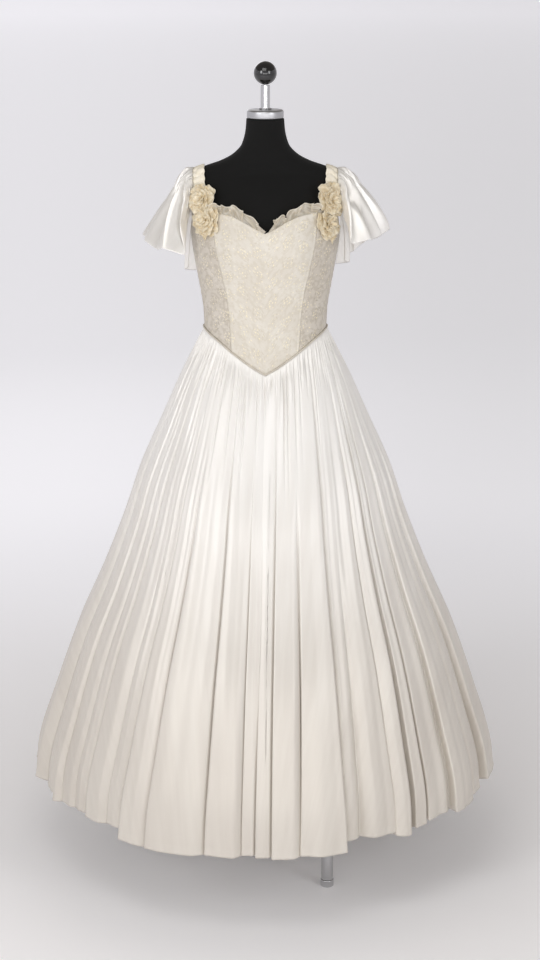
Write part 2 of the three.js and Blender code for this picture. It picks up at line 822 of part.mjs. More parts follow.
addForm();
addFinial();
addStand();
addBodice();
addPiping('waist_piping_front', -89.9, 89.9, 40);
addPiping('waist_piping_back', 90.1, 269.9, 26);
addStrap('strap_left', -1);
addStrap('strap_right', 1);
addSleeve('sleeve_left', -1, LEFT_SLEEVE, LEFT_BULGE);
addSleeve('sleeve_right', 1, RIGHT_SLEEVE, RIGHT_BULGE);
addRuffle('neck_ruffle_left', -1);
addRuffle('neck_ruffle_right', 1);
ROSETTES.forEach(addRosette);
addSkirt();

export default group;
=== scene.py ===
# Ball gown on a limbless dress form: the looks of every piece, built round the fixed frame.
# Tables and lengths are in millimetres, and MM turns them into metres. Lengths inside finishes and
# in the studio are in metres. Turns are in degrees from centre front, positive towards +X. The
# front faces -Y.

import math

import bmesh
import bpy
import numpy as np
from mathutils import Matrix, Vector


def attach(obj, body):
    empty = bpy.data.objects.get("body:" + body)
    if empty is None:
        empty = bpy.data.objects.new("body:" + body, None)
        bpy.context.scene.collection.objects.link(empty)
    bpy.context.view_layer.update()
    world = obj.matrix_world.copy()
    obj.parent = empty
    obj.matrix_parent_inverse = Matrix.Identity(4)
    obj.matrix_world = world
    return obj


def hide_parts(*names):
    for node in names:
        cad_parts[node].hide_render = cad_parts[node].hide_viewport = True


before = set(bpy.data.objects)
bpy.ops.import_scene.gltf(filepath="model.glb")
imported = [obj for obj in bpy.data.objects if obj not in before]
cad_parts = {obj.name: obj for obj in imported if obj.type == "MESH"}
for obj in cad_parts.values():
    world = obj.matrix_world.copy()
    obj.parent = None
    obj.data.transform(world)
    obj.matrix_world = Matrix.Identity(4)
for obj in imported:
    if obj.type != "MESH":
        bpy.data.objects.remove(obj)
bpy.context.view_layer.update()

bl_info = {
    "name": "Ball gown on a dress form",
    "version": (1, 0, 0),
    "blender": (4, 5, 0),
    "location": "View3D > Sidebar > Gown",
    "description": "Builds the gown's cloth, the dress form, the stand and the studio",
    "category": "Object",
}

MM = 0.001

# Clearance between form and bodice, the bodice's wall in the frame, and how far the form's cover
# stays inside its sections; then the gap at seams and between the edges of panels
FORM_CLEARANCE, BODICE_WALL, COVER_EASE = 1.0, 2.0, 1.7
BODICE_OUT = FORM_CLEARANCE + BODICE_WALL
SEAM_GAP, PANEL_GAP = 0.3, 0.03

# Thickness of each cloth's shell
BODICE_SHELL, STRAP_SHELL, SKIRT_SHELL, SLEEVE_SHELL = 1.6, 1.2, 1.05, 0.84
RUFFLE_SHELL, PETAL_SHELL = 0.35, 0.3

# Sections of the form: height, half width, depth in front of the axis, depth behind it
FORM = (
    (890, 150, 100, 110),
    (1000, 166, 108, 122),
    (1100, 152, 104, 104),
    (1200, 129, 92, 82),
    (1237, 130.5, 94, 84),
    (1274, 135, 98, 88),
    (1324, 144, 106, 94),
    (1359, 150, 110, 99),
    (1400, 155.5, 111, 104),
    (1447, 157, 104, 107),
    (1490, 162, 86, 102),
    (1520, 162, 64, 80),
    (1538, 154, 50, 56),
    (1549, 130, 48, 50),
    (1561, 95, 50, 52),
    (1576, 68, 50, 52),
    (1595, 51.4, 47, 49),
    (1625, 43.5, 43, 43.5),
    (1647, 41.7, 41.7, 41.7),
)
CUP_X, CUP_Z, CUP_DEPTH, CUP_HALF_WIDTH, CUP_HALF_HEIGHT = 74, 1388, 13, 46, 52

# Neckline and waist seam: turn, height. Princess seam: height, distance from the middle.
NECKLINE = (
    (0, 1419), (9, 1431), (18, 1444), (28, 1454), (38, 1458), (50, 1465), (71, 1465),
    (79, 1432), (90, 1408), (101, 1430), (108, 1464), (130, 1464), (142, 1454),
    (160, 1444), (180, 1440),
)
WAIST = (
    (0, 1116), (10, 1130), (20, 1145), (33, 1163), (49, 1182), (64, 1194), (79, 1202),
    (90, 1204), (120, 1203), (180, 1198),
)
PRINCESS = (
    (1166, 72), (1233, 76), (1282, 81.5), (1324, 90), (1373, 100), (1398, 105), (1460, 110),
)

# The skirt's flare: share of the drop from waist to hem, share of the way out to the hem
FLARE = (
    (0, 0), (0.107, 0.143), (0.197, 0.247), (0.31, 0.377), (0.396, 0.452), (0.522, 0.582),
    (0.66, 0.743), (0.81, 0.88), (0.943, 0.983), (1, 1),
)
# Skirt: height and radius of the hem and length of the cloth's fall; then its gathers at the waist,
# how far a fold laps over the next panel, and the points across a panel
HEM_HEIGHT, HEM_RADIUS, SKIRT_LENGTH = 185, 517, 1030
GATHER_COUNT, FOLD_LAP, PLEAT_COLUMNS = 190, 9, 29

# Folds of the skirt's front: turn at the hem and at the waist in degrees, depth at the hem, which
# side's panel lies over the fold (1 right, -1 left, 0 neither), open width, width of the soft
# slope, share of the drop where the fold starts, how far the panel on its right lies in at the
# hem, and how far that panel's hem is lifted
FOLD_COLUMNS = "hem waist depth over open slope start recess lift"
FRONT_FOLDS = (
    (-90, -90, 36, 1, 5, 24, 0.0, 2, 26),
    (-81.5, -84, 22, 1, 0, 26, 0.2, 0, 14),
    (-73.7, -78.5, 40, 1, 5, 24, 0.1, 16, 10),
    (-67.5, -73, 18, -1, 0, 18, 0.3, 6, 3),
    (-62.5, -68, 38, 1, 4, 24, 0.05, 20, 6),
    (-55.9, -62.5, 34, 1, 2, 26, 0.1, 26, 8),
    (-50.3, -57, 60, 1, 7, 34, 0.0, 20, 7),
    (-42.3, -50, 34, 1, 0, 24, 0.34, 26, 9),
    (-36.1, -43.5, 62, 1, 2, 30, 0.12, 2, -4),
    (-28.3, -36.5, 28, 1, 1, 40, 0.2, 0, -2),
    (-13.3, -21.5, 38, 1, 2, 30, 0.05, 6, 1),
    (-4.6, -7, 30, 1, 3, 18, 0.16, 14, 3),
    (-1.2, 0, 15, 1, 1, 12, 0.56, 8, -1),
    (2.6, 10, 26, 1, 1, 16, 0.02, 0, -3),
    (9.3, 25, 30, 1, 0, 34, 0.24, 4, 0),
    (19.1, 44, 50, -1, 4, 30, 0.02, 34, 12),
    (25.1, 54, 28, 0, 14, 34, 0.3, 30, 11),
    (34.1, 62.5, 40, -1, 2, 26, 0.02, 14, 3),
    (40.6, 68, 54, 1, 18, 16, 0.0, 22, 9),
    (46.5, 73.5, 60, 1, 4, 24, 0.05, 26, 8),
    (55.9, 78.5, 36, 1, 3, 26, 0.16, 10, 4),
    (63.8, 82.5, 42, -1, 6, 22, 0.1, 18, 6),
    (75.6, 86.5, 40, 1, 4, 26, 0.2, 2, 18),
)

# Folds of the back: their number, and the depths, slopes and recesses that they take in turn
BACK_FOLD_COUNT = 21
BACK_DEPTHS = (38, 24, 50, 30, 56, 22, 44)
BACK_SLOPES = (24, 34, 18, 28)
BACK_RECESSES = (0, 18, 6, 26, 2, 12)

# Straps: turn over the shoulder from the front, distance of the inner and the outer edge
STRAP = ((4, 123, 150), (45, 126, 153), (90, 129, 155), (135, 127, 153), (176, 124, 150))
STRAP_CENTRE_Y, STRAP_CENTRE_Z = 6, 1462
STRAP_SHIRRS, STRAP_FRONT_FOOT, STRAP_BACK_FOOT = 17, STRAP[0][0], STRAP[-1][0]

# Sleeves: where the seam on the strap starts and ends, and its share of the strap's width; then
# the hem: share of its length, and its place outwards, along Y and up
SLEEVE_FROM, SLEEVE_TO, SLEEVE_SEAM = 46, 158, 0.84
LEFT_SLEEVE = (
    (0, 160, -44, 1472), (0.07, 175, -72, 1426), (0.14, 192, -98, 1382), (0.25, 230, -76, 1383),
    (0.36, 254, -34, 1392), (0.46, 263, 4, 1400), (0.56, 257, 48, 1397), (0.66, 237, 82, 1384),
    (0.76, 206, 98, 1362), (0.84, 182, 102, 1344), (0.89, 171, 104, 1330), (0.93, 176, 106, 1307),
    (1, 148, 100, 1306),
)
RIGHT_SLEEVE = (
    (0, 160, -44, 1472), (0.07, 170, -72, 1438), (0.14, 180, -98, 1401), (0.25, 216, -84, 1402),
    (0.36, 246, -40, 1405), (0.46, 263, 4, 1409), (0.56, 256, 48, 1404), (0.66, 234, 82, 1384),
    (0.76, 206, 98, 1362), (0.82, 191, 100, 1347), (0.87, 173, 103, 1340), (0.91, 183, 104, 1324),
    (1, 152, 100, 1320),
)
LEFT_BULGE, RIGHT_BULGE = 8.5, 16

# Creases of a sleeve: share of its edge at the hem and at the strap, depth, half width as a share
LEFT_CREASES = (
    (0.045, 0.1, 6, 0.026), (0.125, 0.25, 21, 0.04), (0.28, 0.36, 8, 0.055), (0.42, 0.45, 8, 0.045),
    (0.53, 0.52, 10, 0.045), (0.63, 0.6, 7, 0.03), (0.72, 0.69, 10, 0.035), (0.81, 0.79, 8, 0.028),
    (0.905, 0.9, 6, 0.02),
)
RIGHT_CREASES = (
    (0.05, 0.1, 5, 0.025), (0.19, 0.24, 11, 0.045), (0.415, 0.3, 19, 0.042), (0.31, 0.2, 8, 0.04),
    (0.53, 0.52, 10, 0.045), (0.62, 0.61, 7, 0.03), (0.7, 0.69, 10, 0.035), (0.78, 0.78, 8, 0.028),
    (0.89, 0.88, 6, 0.02),
)

# Waist cord: its radius, and how far out from the form its middle runs. Neckline ruffles: the
# turns where they start and end, their height and their lean outwards.
CORD_RADIUS, CORD_CENTRE_OUT = 1.6, BODICE_OUT + 1.9
RUFFLE_FROM, RUFFLE_TO, RUFFLE_HEIGHT, RUFFLE_LEAN = 2, 43, 26, 8

# Rosettes: name, x and z of the centre, radius, length of the leaf-shaped tail, angle of the
# standing loop beside it in degrees, seed of the draws
ROSETTES = (
    ("rosette_upper_left", -130, 1483, 33, 0, None, 11),
    ("rosette_lower_left", -120, 1442, 34, 42, None, 12),
    ("rosette_upper_right", 135, 1482, 33, 0, 142, 13),
    ("rosette_lower_right", 129, 1433, 33, 42, None, 14),
)

# Rings of petals from the outside in: count, length and half width as shares of the radius, how
# far a petal rises, and how far its sides curl up
PETAL_RINGS = (
    (8, 1.1, 0.56, 1.5, 0.6), (7, 0.94, 0.48, 4.0, 1.4), (6, 0.72, 0.4, 6.5, 2.0),
    (5, 0.48, 0.34, 8.5, 2.6), (3, 0.28, 0.24, 10.5, 3.0),
)

# Leaf-shaped petals of a tail: lean from straight down in radians, share of the tail's length
TAIL_LEAVES = ((-0.35, 0.8), (0.1, 1.0), (0.5, 0.72))

# Stand and finial
SHOULDER_TOP, NECK_TOP, CAP_TOP, CAP_RADIUS = 1500, 1647, 1666, 39
ROD_RADIUS, BALL_CENTRE, BALL_RADIUS = 10, 1742, 24.5
POLE_RADIUS, HUB_RADIUS, HUB_BOTTOM, HUB_TOP = 12.5, 30, 126, 174
LEG_RADIUS, LEG_LEVEL, LEG_BEND, LEG_REACH = 13, 150, 62, 279
LEG_AZIMUTHS = (29, 149, 269)
TIP_RADIUS, TIP_HEIGHT = 14.5, 16

# Camera of the photograph's view: its place, its pitch below the horizon and its lens
CAMERA_X, CAMERA_DISTANCE, CAMERA_HEIGHT, CAMERA_PITCH, CAMERA_LENS = 10, 4600, 2098, 15.1, 81

# Studio: radius of the floor and rise of its rim. The floor's glow is painted light: it grows with
# the distance from the gown and is stronger on the left than on the right; it starts below 0, so
# that a little of it is left under the gown.
STUDIO_RADIUS, STUDIO_RISE = 46, 16
GLOW_NEAR, GLOW_FAR = -0.7, 3.2
GLOW_LEFT, GLOW_RIGHT = (0.52, 0.525, 0.555), (0.42, 0.425, 0.445)

# Lights: name, place, aim, size, power in watts, colour
LIGHTS = (
    ("left_softbox", (-2.9, -3.4, 2.6), (0, 0, 1.2), (1.2, 1.8), 45, (0.98, 0.99, 1)),
    ("right_softbox", (2.9, -3.4, 2.3), (0, 0, 1.0), (1.2, 2.0), 35, (0.965, 0.98, 1)),
    ("top_softbox", (-0.4, -1.9, 3.2), (0, 0, 1.1), (1.6, 1.2), 13, (1, 1, 1)),
    ("floor_light", (0, -3.4, 1.5), (0, -1.3, 0), (3.0, 0.4), 20, (1, 0.995, 0.99)),
    ("back_softbox", (-1.2, 4.4, 2.8), (0, 0, 1.1), (2.0, 1.6), 14, (1, 1, 1)),
)


def column(rows, index):
    return np.array([row[index] for row in rows], float)


def smooth(rows, index):
    """A curve through one column of a table that doesn't overshoot between its rows."""
    xs, ys = column(rows, 0), column(rows, index)
    steps = np.diff(ys) / np.diff(xs)
    slopes = np.zeros(len(xs))
    slopes[0], slopes[-1] = steps[0], steps[-1]
    product = steps[:-1] * steps[1:]
    total = steps[:-1] + steps[1:]
    inner = np.zeros(len(product))
    np.divide(2 * product, total, out=inner, where=product > 0)
    slopes[1:-1] = inner

    def curve(value):
        x = np.clip(value, xs[0], xs[-1])
        i = np.clip(np.searchsorted(xs, x) - 1, 0, len(xs) - 2)
        span = xs[i + 1] - xs[i]
        t = (x - xs[i]) / span
        keep = (1 + 2 * t) * (1 - t) ** 2
        start, end = t * (1 - t) ** 2 * span, t * t * (t - 1) * span
        return keep * ys[i] + start * slopes[i] + (1 - keep) * ys[i + 1] + end * slopes[i + 1]

    return curve


form_width, form_front, form_back = (smooth(FORM, i) for i in (1, 2, 3))
neckline_height, waist_height = smooth(NECKLINE, 1), smooth(WAIST, 1)
princess_x, flare = smooth(PRINCESS, 1), smooth(FLARE, 1)
strap_inner, strap_outer = smooth(STRAP, 1), smooth(STRAP, 2)


def ease(value, start, end):
    """0 below start, 1 above end, with a smooth step between them."""
    t = np.clip((value - start) / (end - start), 0, 1)
    return t * t * (3 - 2 * t)


def mix(a, b, share):
    return a + (b - a) * share


def cup_depth(x, z):
    across = (np.abs(x) - CUP_X) / CUP_HALF_WIDTH
    up = (z - CUP_Z) / CUP_HALF_HEIGHT
    return CUP_DEPTH * np.exp(-across * across - up * up)


def outside_form(p):
    """Below 0 inside the form's surface and above 0 outside it; p is an array of points."""
    x, y, z = p[..., 0], p[..., 1], p[..., 2]
    in_front = y < 0
    lift = np.where(in_front, np.minimum(y + cup_depth(x, z), 0), y)
    depth = np.where(in_front, form_front(z), form_back(z))
    return (x / form_width(z)) ** 2 + (lift / depth) ** 2 - 1


def unit(vectors):
    length = np.linalg.norm(vectors, axis=-1, keepdims=True)
    return vectors / np.maximum(length, 1e-9)


def form_normal(p):
    steps = 0.5 * np.eye(3)
    change = [outside_form(p + step) - outside_form(p - step) for step in steps]
    return unit(np.stack(change, axis=-1))


def on_form(turn, z, out=0.0):
    """Points of the form's surface at turns and heights, moved out by a clearance."""
    turn, z, out = np.broadcast_arrays(np.asarray(turn, float), z, out)
    angle = np.radians(turn)
    x = form_width(z) * np.sin(angle)
    in_front = np.cos(angle) >= 0
    depth = np.where(in_front, form_front(z), form_back(z))
    cup = np.where(in_front, cup_depth(x, z) * np.minimum(1, 3 * np.cos(angle)), 0)
    p = np.stack([x, -depth * np.cos(angle) - cup, z], axis=-1)
    return p + form_normal(p) * out[..., None]


def cast_to_form(start, direction, reach, out=0.0):
    """Walks from points along directions to the form's surface, then out by a clearance."""
    near = np.zeros(start.shape[:-1])
    far = near + reach
    for _ in range(30):
        middle = (near + far) / 2
        inside = outside_form(start + direction * middle[..., None]) < 0
        near, far = np.where(inside, middle, near), np.where(inside, far, middle)
    p = start + direction * near[..., None]
    return p + form_normal(p) * np.broadcast_to(out, near.shape)[..., None]


class Socket:
    """Shader maths: one socket of a material, with arithmetic that adds Math nodes."""

    def __init__(self, finish, socket):
        self.finish = finish
        self.socket = socket

    def _math(self, operation, *values):
        return self.finish.node("ShaderNodeMath", {"operation": operation}, *values)

    def __add__(self, other):
        return self._math("ADD", self, other)

    def __sub__(self, other):
        return self._math("SUBTRACT", self, other)

    def __mul__(self, other):
        return self._math("MULTIPLY", self, other)

    def __truediv__(self, other):
        return self._math("DIVIDE", self, other)

    def __pow__(self, other):
        return self._math("POWER", self, other)

    def __rsub__(self, other):
        return self._math("SUBTRACT", other, self)

    def sine(self):
        return self._math("SINE", self)

    def cosine(self):
        return self._math("COSINE", self)

    def whole(self):
        return self._math("FLOOR", self)

    def fraction(self):
        return self._math("FRACT", self)

    def size(self):
        return self._math("ABSOLUTE", self)

    def most(self, other):
        return self._math("MAXIMUM", self, other)

    def step(self, start, end):
        """0 below start, 1 above end, smooth between; start above end turns it round."""
        low, high, bottom, top = (start, end, 0, 1) if start < end else (end, start, 1, 0)
        settings = {"interpolation_type": "SMOOTHSTEP"}
        return self.finish.node("ShaderNodeMapRange", settings, self, low, high, bottom, top)


class Finish:
    """One material: node() adds its nodes, and paint() sets its shader's sockets."""

    def __init__(self, name):
        self.material = bpy.data.materials.new(name)
        self.material.use_nodes = True
        self.tree = self.material.node_tree
        self.shader = self.tree.nodes["Principled BSDF"]

    def node(self, kind, settings, *values, out=0, **named):
        """A node with its settings, and its inputs by place or by name; returns one output."""
        node = self.tree.nodes.new(kind)
        for key, value in settings.items():
            setattr(node, key, value)
        for key, value in (*enumerate(values), *named.items()):
            self.feed(node.inputs[key], value)
        return Socket(self, node.outputs[out])

    def feed(self, socket, value):
        if isinstance(value, Socket):
            self.tree.links.new(value.socket, socket)
        else:
            socket.default_value = value

    def cloth_place(self):
        """The cloth's own coordinates in metres: across the width, and up the length."""
        return self.node("ShaderNodeTexCoord", {}, out=2)

    def object_place(self):
        return self.node("ShaderNodeTexCoord", {}, out=3)

    def scaled(self, place, x, y, z=1.0):
        settings = {"vector_type": "POINT"}
        return self.node("ShaderNodeMapping", settings, Vector=place, Scale=(x, y, z))

    def parts(self, place):
        split = self.tree.nodes.new("ShaderNodeSeparateXYZ")
        self.feed(split.inputs[0], place)
        return [Socket(self, split.outputs[i]) for i in range(3)]

    def noise(self, place, scale, detail=3.0, roughness=0.55):
        return self.node(
            "ShaderNodeTexNoise", {}, Vector=place, Scale=scale, Detail=detail,
            Roughness=roughness,
        )

    def cells(self, place, scale):
        """Distance from the nearest of many scattered points."""
        return self.node("ShaderNodeTexVoronoi", {}, Vector=place, Scale=scale)

    def colours(self, share, first, second):
        """A colour between two, each a socket or a linear colour."""
        node = self.tree.nodes.new("ShaderNodeMix")
        node.data_type = "RGBA"
        self.feed(node.inputs["Factor"], share)
        for socket, value in ((node.inputs[6], first), (node.inputs[7], second)):
            self.feed(socket, value if isinstance(value, Socket) else (*value, 1))
        return Socket(self, node.outputs[2])

    def bump(self, height, distance, strength=1.0, under=None):
        named = {"Height": height, "Distance": distance, "Strength": strength}
        if under is not None:
            named["Normal"] = under
        return self.node("ShaderNodeBump", {}, **named)

    def paint(self, **sockets):
        for key, value in sockets.items():
            self.feed(self.shader.inputs[key.replace("_", " ")], value)
        return self.material


def rgb(text):
    """Linear colour of a written sRGB colour such as F2EDE4."""
    values = [int(text[i:i + 2], 16) / 255 for i in (0, 2, 4)]
    return tuple(v / 12.92 if v <= 0.04045 else ((v + 0.055) / 1.055) ** 2.4 for v in values)


def colour_of(text):
    """Linear colour of one of the gown's settings by its name, or of a written sRGB colour."""
    chosen = getattr(bpy.context.scene.gown, text, None)
    return rgb(text) if chosen is None else tuple(chosen)


def millimetres(length):
    """Length of a setting in millimetres, without the rounding of its stored value."""
    return round(length / MM, 4)


def satin_finish(name, pale, metallic, roughness):
    """Ivory satin with long soft streaks, and painted shade that makes it greyer and warmer towards
    the hem.
    """
    finish = Finish(name)
    place = finish.cloth_place()
    streaks = finish.noise(finish.scaled(place, 60, 2.2), 1.0, 4.0)
    clouds = finish.noise(finish.scaled(place, 6, 2.5), 1.0, 2.0)
    warp = finish.noise(finish.scaled(place, 2600, 260), 1.0, 1.0)
    creases = finish.noise(finish.scaled(place, 20, 3.0), 1.0, 3.0, 0.6)
    dents = finish.noise(finish.scaled(place, 12, 9), 1.0, 2.0, 0.5)
    shade = streaks.step(0.35, 0.7) * 0.4 + clouds.step(0.3, 0.7) * 0.6
    upper = finish.colours(shade, rgb("E9E6E0"), colour_of(pale))
    # Painted shade: lower down the cloth the colour moves to these greyer, warmer tones, as if less
    # light reached it
    lower = finish.colours(shade, rgb("CDC6BC"), rgb("D6D0C6"))
    colour = finish.colours(finish.parts(place)[1].step(-0.05, -0.95), upper, lower)
    relief = finish.bump(creases * 0.7 + dents * 0.3, 0.004, 0.35)
    relief = finish.bump(warp, 0.00012, 0.35, relief)
    return finish.paint(
        Base_Color=colour,
        Roughness=warp * 0.08 + clouds * 0.1 + roughness,
        Metallic=metallic,
        Normal=relief,
        Sheen_Weight=0.08,
        Sheen_Roughness=0.4,
        Specular_IOR_Level=0.5,
        Anisotropic=0.3,
    )


def ellipse(x, y, centre, radii, turn):
    """Below 1 inside a turned ellipse of the pattern, in millimetres."""
    across, up = x - centre[0], y - centre[1]
    cosine, sine = math.cos(math.radians(turn)), math.sin(math.radians(turn))
    long = (across * cosine + up * sine) / radii[0]
    short = (up * cosine - across * sine) / radii[1]
    return long * long + short * short


# Brocade motif: width and height of its field, and its leaves as centre, radii and turn
MOTIF_WIDTH, MOTIF_HEIGHT = 36, 46
MOTIF_LEAVES = (
    ((8.4, 7.4), (4.6, 1.7), -46), ((9.0, -6.2), (4.4, 1.7), 52),
    ((4.4, 15.5), (3.8, 1.6), -22), ((5.0, -15.0), (3.6, 1.6), 30),
)


def brocade_finish(name, ground, light, motif, contrast):
    """Pale brocade: columns of small flowers with leaves and stems, and gold dots."""
    finish = Finish(name)
    place = finish.cloth_place()
    across, up, _ = finish.parts(place)
    column_place = across / (MOTIF_WIDTH * MM)
    column_number = column_place.whole()
    odd = (column_number * 0.5).fraction()
    row_place = up / (MOTIF_HEIGHT * MM) + odd
    cell = finish.node("ShaderNodeCombineXYZ", {}, column_number, row_place.whole(), 0.0)
    draw = finish.node("ShaderNodeTexWhiteNoise", {"noise_dimensions": "2D"}, Vector=cell)
    level_x = (column_place.fraction() - 0.5) * MOTIF_WIDTH
    level_y = (row_place.fraction() - 0.5) * MOTIF_HEIGHT
    turn = (draw - 0.5) * 2.4
    cosine, sine = turn.cosine(), turn.sine()
    x, y = level_x * cosine - level_y * sine, level_x * sine + level_y * cosine
    distance = (x * x + y * y) ** 0.5
    angle = finish.node("ShaderNodeMath", {"operation": "ARCTAN2"}, y, x)
    petals = (angle * 5).cosine() * 1.7 + 4.6
    flower = (distance - petals).step(0.4, -0.4)
    outline = (distance - petals).size().step(0.75, 0.35)
    eye = distance.step(1.7, 1.2)
    side = x.size()
    first, *others = (ellipse(side, y, *leaf).step(1.25, 0.85) for leaf in MOTIF_LEAVES)
    leaves = first
    for leaf in others:
        leaves = leaves.most(leaf)
    stem = (x - (y * 0.3).sine() * 3.4).size().step(0.8, 0.4) * y.size().step(5.5, 6.5)
    tendril = (distance - 10.5 - (angle * 3).cosine() * 2.6).size().step(0.6, 0.25)
    halo = distance.step(13.0, 9.0) * distance.step(5.5, 7.0)
    dots = finish.cells(place, 260.0).step(0.38, 0.28)
    loose = finish.cells(place, 110.0).step(0.2, 0.14)
    figure = outline.most(flower * 0.55).most(leaves * 0.8).most(stem * 0.7).most(tendril * 0.5)
    gold = (dots * halo).most(eye).most(loose * 0.7)
    wear = finish.noise(place, 30.0, 3.0).step(0.32, 0.66)
    blotch = finish.noise(place, 85.0, 2.0).step(0.46, 0.62)
    figure = (figure * (wear * 0.7 + 0.3)).most(blotch * 0.45)
    mottle = finish.noise(place, 16.0, 3.0).step(0.35, 0.68)
    weave = finish.noise(finish.scaled(place, 1500, 600), 1.0, 1.0)
    ribs = finish.noise(finish.scaled(place, 90, 900), 1.0, 1.0).step(0.4, 0.7)
    base = finish.colours(mottle * 0.6 + ribs * 0.3, colour_of(ground), colour_of(light))
    tinted = finish.colours(figure * contrast, base, colour_of(motif))
    colour = finish.colours(gold * 0.5, tinted, rgb("FFF3C8"))
    relief = finish.bump(figure + gold * 0.6, 0.0004, 0.5)
    relief = finish.bump(weave * 0.6 + ribs * 0.4, 0.00022, 0.5, relief)
    return finish.paint(
        Base_Color=colour,
        Roughness=0.64 - gold * 0.12 - figure * 0.12,
        Metallic=figure * contrast * 0.2,
        Normal=relief,
        Sheen_Weight=0.12,
        Sheen_Roughness=0.5,
    )


def shirred_finish(name, deep, pale):
    """Plain dull cloth with a fine weave and pale gold flecks."""
    finish = Finish(name)
    place = finish.cloth_place()
    weave = finish.noise(finish.scaled(place, 1100, 1100), 1.0, 2.0)
    flecks = finish.cells(place, 260.0).step(0.3, 0.1)
    mottle = finish.noise(place, 70.0, 3.0).step(0.35, 0.7)
    colour = finish.colours(mottle, colour_of(deep), colour_of(pale))
    colour = finish.colours(flecks * 0.35, colour, rgb("CDBB90"))
    return finish.paint(
        Base_Color=colour,
        Roughness=0.72 - flecks * 0.25,
        Normal=finish.bump(weave, 0.0002, 0.5),
        Sheen_Weight=0.2,
    )


def organza_finish(name, deep, pale, alpha, edge_width):
    """Sheer crisp cloth that lets light through, with a denser edge along its free side."""
    finish = Finish(name)
    place = finish.cloth_place()
    across, up, _ = finish.parts(place)
    grid = ((across * 5200).sine().most((up * 5200).sine())).step(0.2, 0.9)
    tone = finish.noise(place, 110.0, 2.0).step(0.3, 0.7)
    edge = up.size().step(edge_width, edge_width * 0.5)
    body = finish.colours(tone, colour_of(deep), colour_of(pale))
    colour = finish.colours(edge * 0.6, body, rgb("F8F3E6"))
    folds = finish.noise(place, 65.0, 1.0).step(0.4, 0.62)
    relief = finish.bump(grid, 0.00008, 0.4)
    finish.paint(
        Base_Color=colour,
        Roughness=0.46 - grid * 0.1,
        Normal=relief,
        Alpha=(grid * 0.1 + folds * 0.24 + alpha).most(edge * 0.92),
        Sheen_Weight=0.35,
        Sheen_Roughness=0.35,
    )
    through = finish.node("ShaderNodeBsdfTranslucent", {}, Color=colour, Normal=relief)
    cover = Socket(finish, finish.shader.outputs[0])
    lit = finish.node("ShaderNodeMixShader", {}, 0.34, cover, through)
    finish.feed(finish.tree.nodes["Material Output"].inputs["Surface"], lit)
    return finish.material


def form_finish(name, pale):
    """Matt dark knitted cover with a little lint."""
    finish = Finish(name)
    place = finish.object_place()
    knit = finish.noise(finish.scaled(place, 900, 900, 1400), 1.0, 2.0)
    lint = finish.cells(place, 240.0).step(0.06, 0.02)
    colour = finish.colours(knit, (0.0030, 0.0030, 0.0028), colour_of(pale))
    colour = finish.colours(lint * 0.12, colour, (0.09, 0.09, 0.09))
    return finish.paint(
        Base_Color=colour,
        Roughness=knit * 0.1 + 0.82,
        Normal=finish.bump(knit, 0.0003, 0.4),
        Sheen_Weight=0.03,
        Sheen_Roughness=0.6,
        Specular_IOR_Level=0.18,
    )


def metal_finish(name, colour, roughness, brushed):
    """Bare metal, brushed round its axis or polished."""
    finish = Finish(name)
    place = finish.object_place()
    if brushed:
        lines = finish.noise(finish.scaled(place, 40, 40, 5200), 1.0, 2.0)
        relief, distance = lines, 0.00006
    else:
        lines = finish.noise(place, 34.0, 3.0)
        relief, distance = finish.noise(place, 900.0, 2.0), 0.00001
    tint = finish.colours(lines * 0.35, colour, tuple(c * 0.8 for c in colour))
    return finish.paint(
        Base_Color=tint,
        Metallic=1.0,
        Roughness=lines * 0.14 + roughness,
        Normal=finish.bump(relief, distance, 0.4),
    )


def black_finish(name, roughness, coat):
    """Black plastic or rubber with a little dust."""
    finish = Finish(name)
    place = finish.object_place()
    grain = finish.noise(place, 1400.0, 3.0)
    dust = finish.noise(place, 60.0, 4.0).step(0.5, 0.8)
    colour = finish.colours(dust * 0.25, (0.004, 0.004, 0.0045), (0.018, 0.018, 0.018))
    return finish.paint(
        Base_Color=colour,
        Roughness=dust * 0.1 + roughness,
        Normal=finish.bump(grain, 0.00004, 0.25),
        Coat_Weight=coat,
        Coat_Roughness=0.06,
    )


def backdrop_finish():
    """Pale floor and rim: the lights reach them near the gown, where the floor's colour is also
    whiter as painted light, and they glow softly farther off as painted light, more on the left than
    on the right.
    """
    finish = Finish("studio_paper")
    place = finish.object_place()
    side, depth, _ = finish.parts(place)
    distance = (side * side + depth * depth) ** 0.5
    tone = finish.noise(place, 1.4, 2.0)
    glow = distance.step(GLOW_NEAR, GLOW_FAR)
    # Painted light: the glow is stronger on the left side than on the right, as if lit from the left
    slant = (side / (distance + 2.0)).step(-0.16, 0.16)
    lit = finish.colours(slant, GLOW_LEFT, GLOW_RIGHT)
    return finish.paint(
        # Painted light: the floor's colour is whiter near the gown, as if the lamps lit it there
        Base_Color=finish.colours(distance.step(2.6, 0.6), colour_of("paper_colour"), rgb("F6F4F4")),
        Roughness=tone * 0.05 + 0.88,
        Normal=finish.bump(finish.noise(place, 500.0, 2.0), 0.0002, 0.2),
        Specular_IOR_Level=0.2,
        Emission_Color=finish.colours(glow, (0.0, 0.0, 0.0), lit),
        Emission_Strength=1.0,
    )


